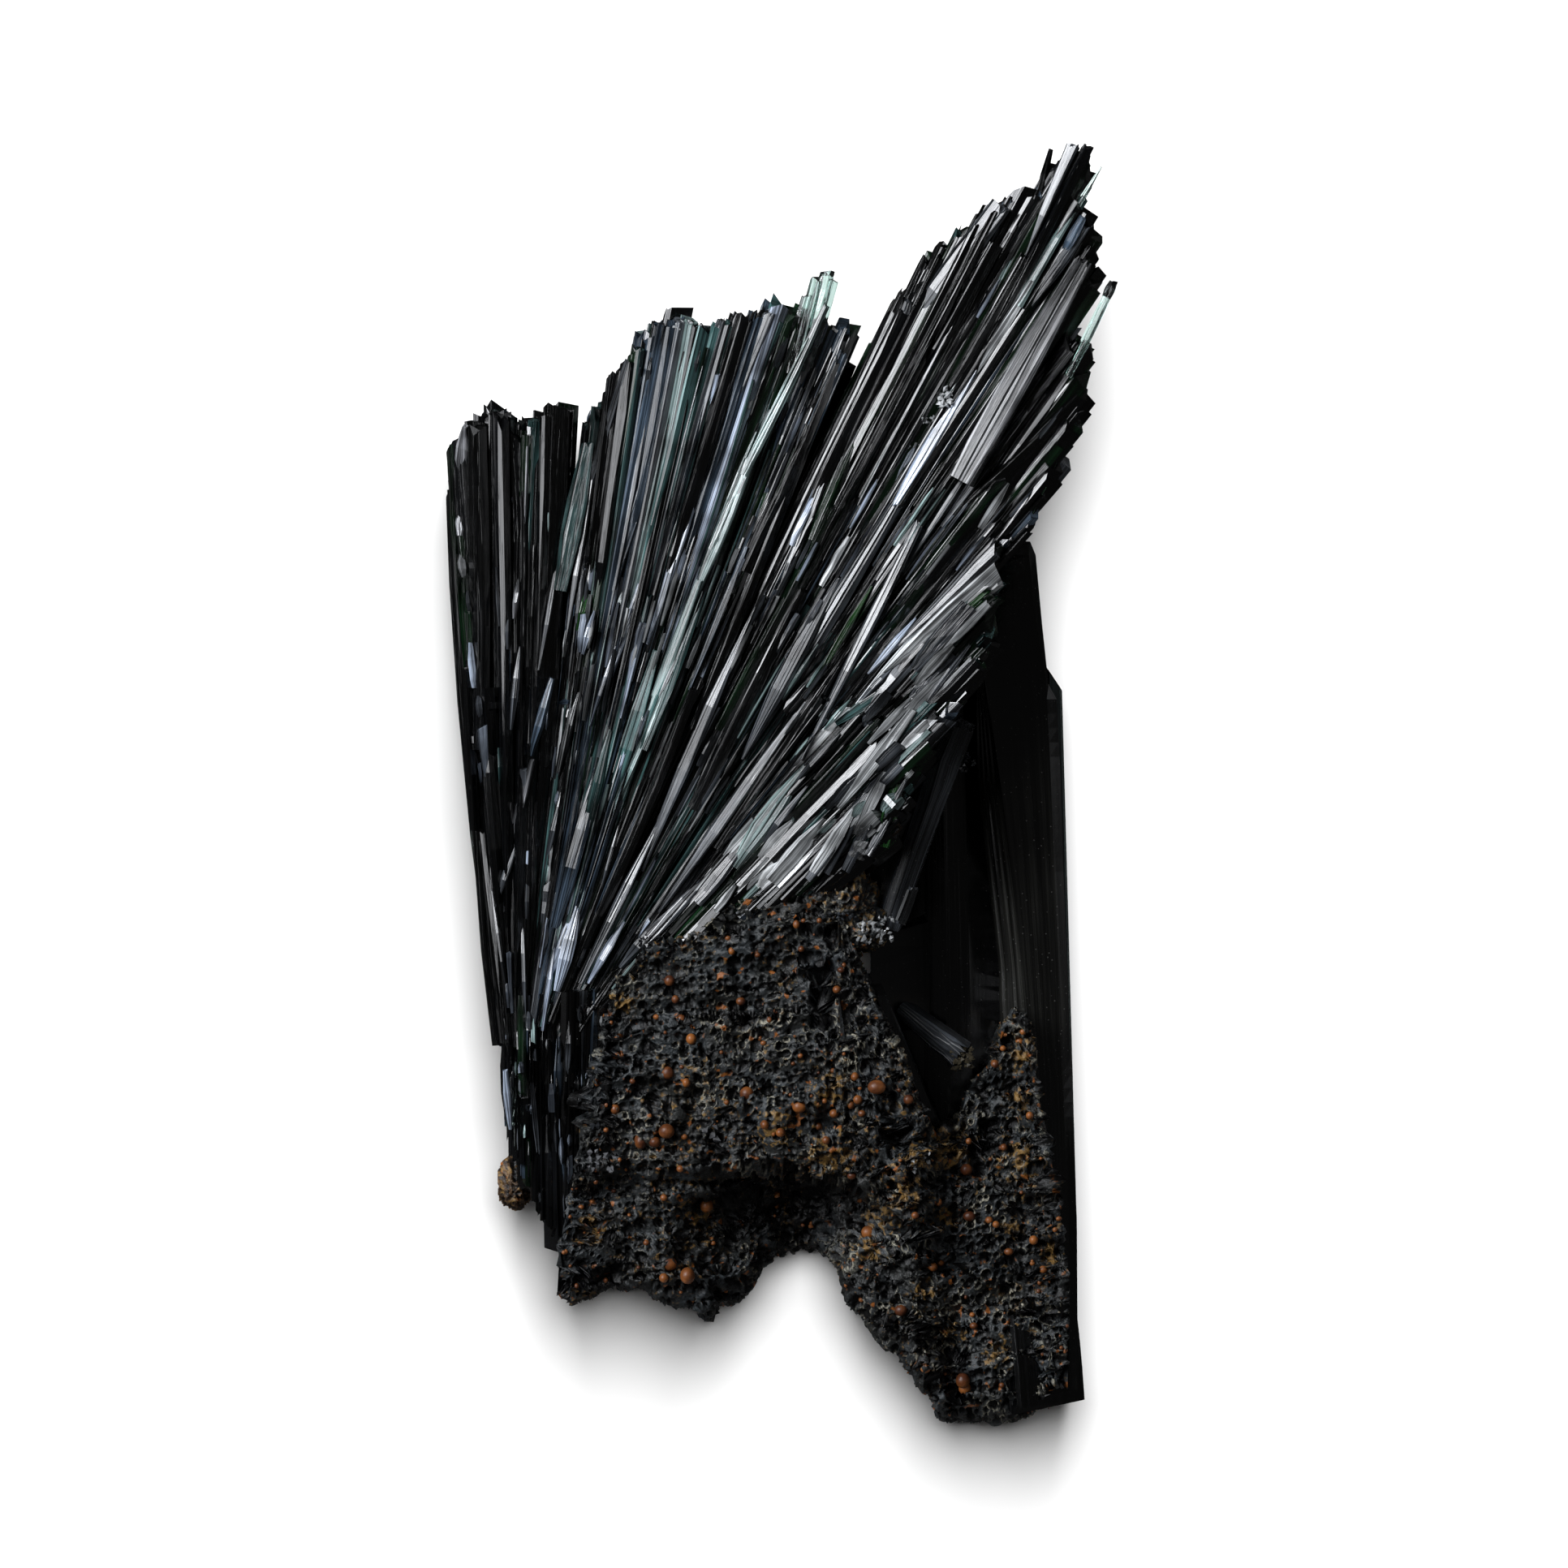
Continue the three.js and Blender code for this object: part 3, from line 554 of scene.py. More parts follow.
def bladeSet(root, tip, widths, depth, roll, tint, gloss, rng, sink=(0.0, 0.0), chisel=0.5, flats=None,
             twist=None, tipTint=None):
    # Long blades whose front is a stair of level strips. A point of a blade is
    # root + t * (tip - root) + u * width(t) * across + (v + step height) * outward + slant * along,
    # with t the share of the length, (u, v) a corner of the section, and slant only at the tip.
    count = len(root)
    flats = flats or bladeShape["flats"]
    t = np.array(bladeShape["stations"])
    along, left, front = bladeFrames(root, tip)
    length = np.linalg.norm(tip - root, axis=1)
    twist = rng.normal(0, np.radians(bladeShape["twist"]), count) if twist is None else np.radians(twist)
    angle = (roll[:, None] + twist[:, None] * (t - 0.5))[..., None]
    across = left[:, None] * np.cos(angle) + front[:, None] * np.sin(angle)
    outward = front[:, None] * np.cos(angle) - left[:, None] * np.sin(angle)
    width = np.stack([np.interp(t, (0, 0.5, 1), row) for row in widths])
    middle = root[:, None] + (tip - root)[:, None] * t[None, :, None]
    bow = rng.normal(0, bladeShape["bow"], count) * length
    middle = middle + left[:, None] * (bow[:, None] * 4 * t * (1 - t))[..., None]
    sinks = np.broadcast_to(np.array(sink, float), (count, 2))
    lower = sinks[:, :1] * (1 - smoothStep(0, 0.4, t)) + sinks[:, 1:] * smoothStep(0.6, 1, t)
    middle[..., 2] = middle[..., 2] - lower
    # the front: edges of the flats from one side to the other, and their heights
    share = rng.uniform(*bladeShape["flatShare"], (count, flats))
    share[:, [0, -1]] *= 0.6
    edges = np.concatenate([np.zeros((count, 1)), np.cumsum(share, 1)], 1)
    edges = 0.5 - edges / edges[:, -1:]
    drift = rng.normal(0, bladeShape["edgeDrift"], (count, len(t), flats + 1))
    drift[..., [0, -1]] = 0
    edges = edges[:, None] + drift
    step = bladeShape["stepWidth"]
    size = widths.max(1)
    height = np.cumsum(rng.normal(0, bladeShape["stepHeight"], (count, flats)), 1) * np.sqrt(size)[:, None]
    height = height - height.mean(1, keepdims=True)
    height = height[:, None] + rng.normal(0, bladeShape["unevenness"], (count, len(t), flats))
    lean = rng.normal(0, bladeShape["lean"], (count, 1, flats))
    lean[..., 0] = -rng.uniform(*bladeShape["bevel"], (count, 1))
    lean[..., -1] = rng.uniform(*bladeShape["bevel"], (count, 1))
    flatWidth = (edges[..., :-1] - edges[..., 1:]) * size[:, None, None]
    near = height + lean * flatWidth / 2
    far = height - lean * flatWidth / 2
    near[..., -1] = height[..., -1]
    far[..., -1] = height[..., -1] - lean[..., -1] * flatWidth[..., -1]
    near[..., 0] = height[..., 0] + lean[..., 0] * flatWidth[..., 0]
    far[..., 0] = height[..., 0]
    uFront = np.stack([edges[..., :-1] - step, edges[..., 1:] + step], -1).reshape(count, len(t), -1)
    vFront = np.stack([near, far], -1).reshape(count, len(t), -1) + depth[:, None, None] / 2
    uFront[..., 0], uFront[..., -1] = 0.5, -0.5
    back = np.broadcast_to(-depth[:, None, None] / 2, (count, len(t), 1))
    half = np.full((count, len(t), 1), bladeShape["halfBack"])
    u = np.concatenate([-half, half, uFront], -1)
    narrow = np.minimum(1, width / size[:, None] + 0.25)[..., None]
    v = np.concatenate([back, back, vFront * narrow], -1)
    corners = u.shape[-1]
    ragged = bladeShape["ragged"]
    slant = rng.normal(0, chisel, (count, 1)) * u[:, -1] + rng.uniform(-ragged, ragged, (count, corners))
    shift = np.zeros(u.shape)
    shift[:, -1] = slant * width[:, -1:]
    points = middle[:, :, None] + (u * width[..., None])[..., None] * across[:, :, None]
    points = points + v[..., None] * outward[:, :, None] + shift[..., None] * along[:, None, None]
    # faces and their strand coordinates: millimetres round the section and along the blade
    n = np.arange(count)[:, None, None] * len(t) * corners
    r = np.arange(len(t) - 1)[None, :, None] * corners
    k = np.arange(corners)[None, None]
    nextK = (k + 1) % corners
    quads = np.stack([n + r + k, n + r + nextK, n + r + corners + nextK, n + r + corners + k], -1)
    k, n = np.arange(corners)[None], np.arange(count)[:, None] * len(t) * corners
    caps = np.concatenate([n + k[:, ::-1], n + (len(t) - 1) * corners + k], 0)
    widest = (u[:, 2] * size[:, None], v[:, 2])
    edge = np.hypot(np.roll(widest[0], -1, 1) - widest[0], np.roll(widest[1], -1, 1) - widest[1])
    offset = rng.uniform(0, 400, (count, 1))
    stop = np.cumsum(edge, 1) + offset
    start = stop - edge
    low = rng.uniform(0, 400, (count, 1)) + length[:, None] * t[None]
    shape = (count, len(t) - 1, corners)
    start, stop = (np.broadcast_to(a[:, None], shape) for a in (start, stop))
    lower, upper = (np.broadcast_to(a[..., None], shape) for a in (low[:, :-1], low[:, 1:]))
    around = ((start, lower), (stop, lower), (stop, upper), (start, upper))
    side = np.stack([np.stack(pair, -1) for pair in around], 3)
    flat = np.stack([widest[0] + offset, widest[1] + low[:, :1]], -1)
    each = len(t) * corners
    tipTint = tint * rng.uniform(0.4, 1.7, (count, 1)) if tipTint is None else tipTint
    tints = np.ones((count, len(t), corners, 4))
    tints[..., :3] = mix(tint[:, None], tipTint[:, None], t[:, None])[:, :, None]
    return {
        "points": points.reshape(-1, 3),
        "quads": quads.reshape(-1, 4),
        "caps": caps.tolist(),
        "side": side.reshape(-1, 2),
        "flat": np.concatenate([flat[:, ::-1], flat], 0).reshape(-1, 2),
        "tint": tints.reshape(-1, 4),
        "gloss": np.repeat(gloss, each),
    }


def bladePiece(name, sets, material, nodes=()):
    starts = np.cumsum([0] + [len(s["points"]) for s in sets])
    quads = np.concatenate([s["quads"] + n for s, n in zip(sets, starts)])
    caps = [[k + int(n) for k in cap] for s, n in zip(sets, starts) for cap in s["caps"]]
    points = np.concatenate([s["points"] for s in sets])
    low, high = np.array(cadBox) / mm
    points = np.clip(points, low, high)
    strand = np.concatenate([s["side"] for s in sets] + [s["flat"] for s in sets])
    fields = {key: np.concatenate([s[key] for s in sets]) for key in ("tint", "gloss")}
    makePiece(name, points, quads.tolist() + caps, material, nodes, strand, fields)


# height of the front of the spray above the table at chosen places (x, y, height)
sprayFront = np.array([
    (-25.7, -26, 20), (-30.5, -8, 18.5), (-33, 30, 17.3), (-30, 37, 20.6), (-28, 38, 21.3), (-22, 37, 22),
    (-18.5, 37, 20.5), (-15, 43, 25), (-8, 47, 25.6), (0, 47.5, 26.2), (4, 51, 25.2), (7.5, 45, 24.4),
    (6.5, 40, 23.2), (12, 48, 26.6), (20, 57, 29.2), (30, 64, 29.6), (26.8, 64, 26.2), (31, 50, 28.2),
    (30, 36, 28.4), (22, 25, 28.6), (20.5, 17, 29.6), (15, 7, 29), (12, -3, 27.6), (0, -9, 24.4),
    (-10, -14, 22.6), (-17, -20, 21.2), (-21, -10, 20.8), (-10, 15, 23.8), (8, 22, 26.6), (-27, -40, 16.5),
    (-23, -47, 16.5), (-20.6, -34, 19),
])


frontBlend = {"reach": 2.5, "power": 3}


def frontHeight(places):
    # mean of the chosen heights, weighted by the inverse cube of the distance to each
    gap = np.linalg.norm(places[..., None, :2] - sprayFront[:, :2], axis=-1)
    weight = 1 / (gap + frontBlend["reach"]) ** frontBlend["power"]
    return (weight * sprayFront[:, 2]).sum(-1) / weight.sum(-1)


def pickTints(shares, count, rng):
    # a tint for each blade, by the shares, each a little lighter or darker
    names = list(shares)
    weights = np.array([shares[n] for n in names], float)
    chosen = rng.choice(len(names), count, p=weights / weights.sum())
    return np.array([tints[n] for n in names])[chosen] * rng.uniform(0.6, 1.3, (count, 1))


rollRange = {"away": (18, 60), "near": 5}      # degrees from the angle that faces the softbox


def pickRolls(bright, away, root, tip, rng):
    # a bright share of the blades faces the softbox, and the others lie at any other angle
    count = len(root)
    best = rollToLight(root, tip)
    away = np.radians(rng.choice(away, count) * rng.uniform(*rollRange["away"], count))
    near = np.radians(rng.normal(0, rollRange["near"], count))
    return best + np.where(rng.random(count) < bright, near, away)


def forkBlades(fork, rng):
    # A fork fills the wedge between its root line and its tip line, from the front height down to its back.
    # Inner blades are broad and lie deep, front ones reach the tip line or taper out, slivers are thin,
    # and glints are short facets that face the softbox, with pale tints that paint their highlight.
    sets = []
    for kind in bladeKinds:
        made = fork[kind]
        count = made["count"]
        share = (rng.permutation(count) + rng.random(count)) / count
        layer = rng.uniform(*made["layers"], count)
        rootAt = alongLine(fork["rootLine"], share)
        tipAt = alongLine(fork["tipLine"], share)
        starts = rng.random(count) < made["startShare"]
        stops = rng.random(count) < made["stopShare"]
        low = rng.uniform(*made["start"], count) * starts
        high = 1 - rng.uniform(*made["stop"], count) * stops
        if "length" in made:
            low = rng.uniform(*made["from"], count)
            high = np.minimum(low + rng.uniform(*made["length"], count), fork["reach"])
        rim = fork["rimDrop"] * (np.abs(2 * share - 1) ** 6)
        width = rng.uniform(*made["width"], count)
        width = width * mix(fork["edgeWidth"], 1, smoothStep(0, 0.08, np.minimum(share, 1 - share)))
        depth = np.maximum(width, fork["leastDepth"]) * rng.uniform(*made["depth"], count)
        relief = made["relief"] * lumps(share * fork["ridges"], 7 + 0 * share)
        lift = rng.normal(made["raise"], made["lift"], count)
        ends = []
        for place, backs in ((low, fork["rootBack"]), (high, fork["tipBack"])):
            at = mix(rootAt, tipAt, place[:, None])
            top = frontHeight(at) - rim + relief * place + lift * (0.4 + 0.6 * place) - depth / 2
            back = np.interp(share, np.linspace(0, 1, len(backs)), backs) + depth / 2
            ends.append(np.concatenate([at, mix(top, back, layer)[:, None]], 1))
        narrow = mix(fork["pinch"], 1, low)
        blunt = made.get("blunt", fork["blunt"])
        isSquare = rng.random(count) < fork["squareShare"]
        rootWidth = np.where(starts, np.minimum(narrow, blunt), narrow) * width
        tipWidth = np.where(stops, np.where(isSquare, fork["squareTip"], blunt), 1) * width
        widths = np.stack([rootWidth, width * mix(fork["pinch"], 1, (low + high) / 2), tipWidth], 1)
        roll = pickRolls(made.get("bright", fork["bright"]), fork["away"], ends[0], ends[1], rng)
        tint = pickTints(made.get("tints", fork["tints"]), count, rng)
        gloss = rng.uniform(*made["gloss"], count)
        sink = np.stack([starts, stops & (tipWidth < 0.5 * width)], 1) * made.get("sink", fork["sink"])
        sets.append(bladeSet(ends[0], ends[1], widths, depth, roll, tint, gloss, rng, sink,
                             flats=made["flats"]))
    return sets


bladeKinds = ("inner", "front", "slivers", "glints")
forkDefaults = {
    "rimDrop": 1.6,
    "away": (-1, -1, 1),     # sides to which the dark blades are turned
    "pinch": 0.45,           # width at the root, of the full width
    "ridges": 9,
    "reach": 0.97,           # how far slivers and glints go, of the way from root to tip
    "edgeWidth": 0.4,        # width of the outermost blades, of the drawn width
    "leastDepth": 0.5,
    "blunt": 0.2,            # width of a tapered end
    "squareShare": 0.3,      # share of the ends that are cut square, and their width
    "squareTip": 0.9,
    "sink": 0.65,            # how deep a tapered end goes into its neighbours
    "inner": {
        "count": 80, "layers": (0.10, 1.0), "start": (0.0, 0.3), "startShare": 0.3,
        "stop": (0.0, 0.12), "stopShare": 0.7, "width": (1.6, 3.2), "depth": (0.8, 1.5), "lift": 0.2,
        "raise": 0.0, "relief": 0.6, "flats": 3, "gloss": (0.10, 0.24),
    },
    "front": {
        "count": 150, "layers": (0.0, 0.06), "start": (0.05, 0.7), "startShare": 0.5,
        "stop": (0.02, 0.6), "stopShare": 0.4, "width": (0.6, 2.9), "depth": (0.5, 1.0), "lift": 0.3,
        "raise": 0.0, "relief": 0.9, "flats": 5, "gloss": (0.08, 0.24),
    },
    "slivers": {
        "count": 130, "layers": (0.0, 0.0), "start": (0.0, 0.8), "startShare": 1.0,
        "stop": (0.0, 0.6), "stopShare": 1.0, "width": (0.10, 0.34), "depth": (0.4, 0.8), "lift": 0.25,
        "raise": 0.25, "relief": 0.9, "flats": 2, "bright": 0.75, "gloss": (0.08, 0.18),
        "from": (0.02, 0.85), "length": (0.08, 0.4),
    },
    "glints": {
        "count": 120, "layers": (0.0, 0.0), "start": (0.0, 0.8), "startShare": 1.0,
        "stop": (0.0, 0.6), "stopShare": 1.0, "width": (0.16, 0.62), "depth": (0.4, 0.7), "lift": 0.2,
        "raise": 0.32, "relief": 0.9, "flats": 1, "bright": 0.8, "gloss": (0.05, 0.12), "blunt": 0.35,
        "from": (0.05, 0.92), "length": (0.025, 0.10), "sink": 0.25,
        # pale tints that paint the glints' highlight
        "tints": {"steel": 4, "blueHighlight": 3, "white": 2, "tealHighlight": 1},
    },
}
forks = {
    "leftSpray": {
        "node": "left_blades",
        "rootLine": [(-28.2, -25.5), (-25.8, -26.5)],
        "tipLine": [
            (-33, 29), (-33.1, 32.6), (-32.6, 35.2), (-31.3, 36.8), (-29.9, 37.6), (-29, 38.1), (-28, 37.6),
            (-27.4, 36.2), (-26.5, 35.5), (-25.3, 35.4), (-24.6, 37), (-23.3, 38.1), (-22.4, 38.4),
            (-21.6, 36.6),
        ],
        "rootBack": (8, 7), "tipBack": (5, 0.5), "bright": 0.06, "ridges": 5, "away": (-1,),
        "inner": {"count": 60},
        "front": {"count": 38, "width": (1.2, 3.4), "flats": 2, "gloss": (0.04, 0.12)},
        "slivers": {"count": 26, "bright": 0.4},
        "glints": {"count": 26, "width": (0.25, 0.9)},
        "tints": {"black": 84, "deepGreen": 8, "teal": 3, "blue": 5},
    },
    "middleSpray": {
        "node": "middle_blades",
        "rootLine": [(-26.2, -25), (-22.6, -23)],
        "tipLine": [
            (-20.4, 36.2), (-19, 36.8), (-17.6, 38.7), (-16.5, 41.5), (-15, 43.4), (-13.8, 45),
            (-12.4, 46.7), (-11, 47.1), (-9.1, 47.1), (-8.2, 46.3), (-6, 46.8), (-4, 47.3), (-2, 47.5),
            (-.6, 48.3), (.8, 47.7), (2, 47.2), (4, 46.8), (5.2, 46), (6.2, 46.5), (6.3, 45.2), (5.2, 41.6),
        ],
        "rootBack": (7, 7), "tipBack": (2.5, 3, 3.5, 4, 5, 5, 5, 19), "bright": 0.16,
        "front": {"flats": 4, "gloss": (0.06, 0.20)},
        "slivers": {"count": 200},
        "glints": {"count": 120},
        "tints": {
            "black": 40, "deepGreen": 12, "teal": 16, "blue": 16, "steel": 10, "tealHighlight": 3, "blueHighlight": 3,
        },
    },
    "rightSpray": {
        "node": "right_blades",
        "rootLine": [(-23.8, -26.0), (-19.4, -23.6)],
        "tipLine": [
            (8.8, 41.4), (9.8, 43.2), (10.6, 44.9), (11.2, 46.4), (11.8, 47.4), (12.9, 49), (14.2, 50.2),
            (15.6, 52.4), (17.3, 54.8), (18.8, 56), (20.4, 57.4), (22.7, 59), (24.4, 58.6), (25.6, 59.4),
            (27, 60.6), (28.6, 62.2), (30, 63.6), (30.1, 61.8), (29.1, 59.4), (29.8, 57.6), (30.9, 55.6),
            (30.9, 53), (30.1, 50.4), (28.8, 47.6), (27.4, 45.6), (28.6, 45.2), (30.2, 44.6), (29.8, 41.6),
            (29.6, 39.2), (29, 36.8), (28, 35.2), (27.2, 33), (26, 29.8), (24.6, 25.8),
        ],
        "rootBack": (8, 9), "tipBack": (21, 11, 11, 12, 13, 14, 16, 19), "bright": 0.10, "ridges": 13,
        "pinch": 0.36, "away": (-1,),
        "inner": {"count": 120},
        "front": {"count": 180, "gloss": (0.05, 0.18), "startShare": 0.7, "width": (0.8, 3.4), "flats": 4},
        "slivers": {"count": 170, "bright": 0.6},
        "glints": {"count": 80},
        "tints": {"black": 72, "deepGreen": 14, "teal": 3, "blue": 6, "steel": 5},
    },
    "lowerSpray": {
        "node": "lower_blades",
        "rootLine": [(-16.6, -16.6), (-10, -15.6), (-5, -12.8), (0, -11), (6.5, -9.2)],
        "tipLine": [
            (23.8, 25.4), (22, 24.8), (20.9, 22.6), (21, 20.6), (20.6, 18.2), (20.8, 16), (19.8, 13.6),
            (18.6, 10.6), (16.8, 8.2), (14.6, 5), (13.2, 1.8), (12, -2), (10.4, -6),
        ],
        "rootBack": (10, 14), "tipBack": (21, 15), "bright": 0.05, "pinch": 0.8, "away": (-1,),
        "inner": {"count": 70},
        "front": {"count": 110, "width": (0.7, 2.4), "start": (0.05, 0.7), "flats": 3, "gloss": (0.04, 0.10)},
        "slivers": {"count": 80},
        "glints": {
            "count": 50, "width": (0.35, 1.4), "length": (0.06, 0.22), "gloss": (0.03, 0.07),
            "tints": {"highlightWhite": 3, "white": 3, "steel": 3, "tealHighlight": 1},
        },
        "tints": {"black": 62, "deepGreen": 22, "teal": 7, "blue": 4, "steel": 5},
    },
    "rootSpray": {
        "node": "root_blades",
        "rootLine": [(-28.2, -21), (-17.6, -20)],
        "tipLine": [
            (-27.7, -34), (-26.6, -37.6), (-24.8, -42.2), (-23.4, -44.4), (-22.2, -45.6), (-21.4, -40),
            (-19.6, -36.2), (-18.6, -32.2),
        ],
        "rootBack": (7, 7), "tipBack": (5, 6), "bright": 0.05, "pinch": 0.9,
        "inner": {"count": 40},
        "front": {"count": 60, "width": (0.5, 1.7)},
        "slivers": {"count": 40, "bright": 0.4},
        "glints": {"count": 36, "length": (0.03, 0.14)},
        "tints": {"black": 80, "deepGreen": 5, "blue": 11, "steel": 4},
    },
}


def completeFork(fork):
    # the fork's own values over the defaults
    whole = {**forkDefaults, **fork}
    for kind in bladeKinds:
        whole[kind] = {**forkDefaults[kind], **fork.get(kind, {})}
    return whole
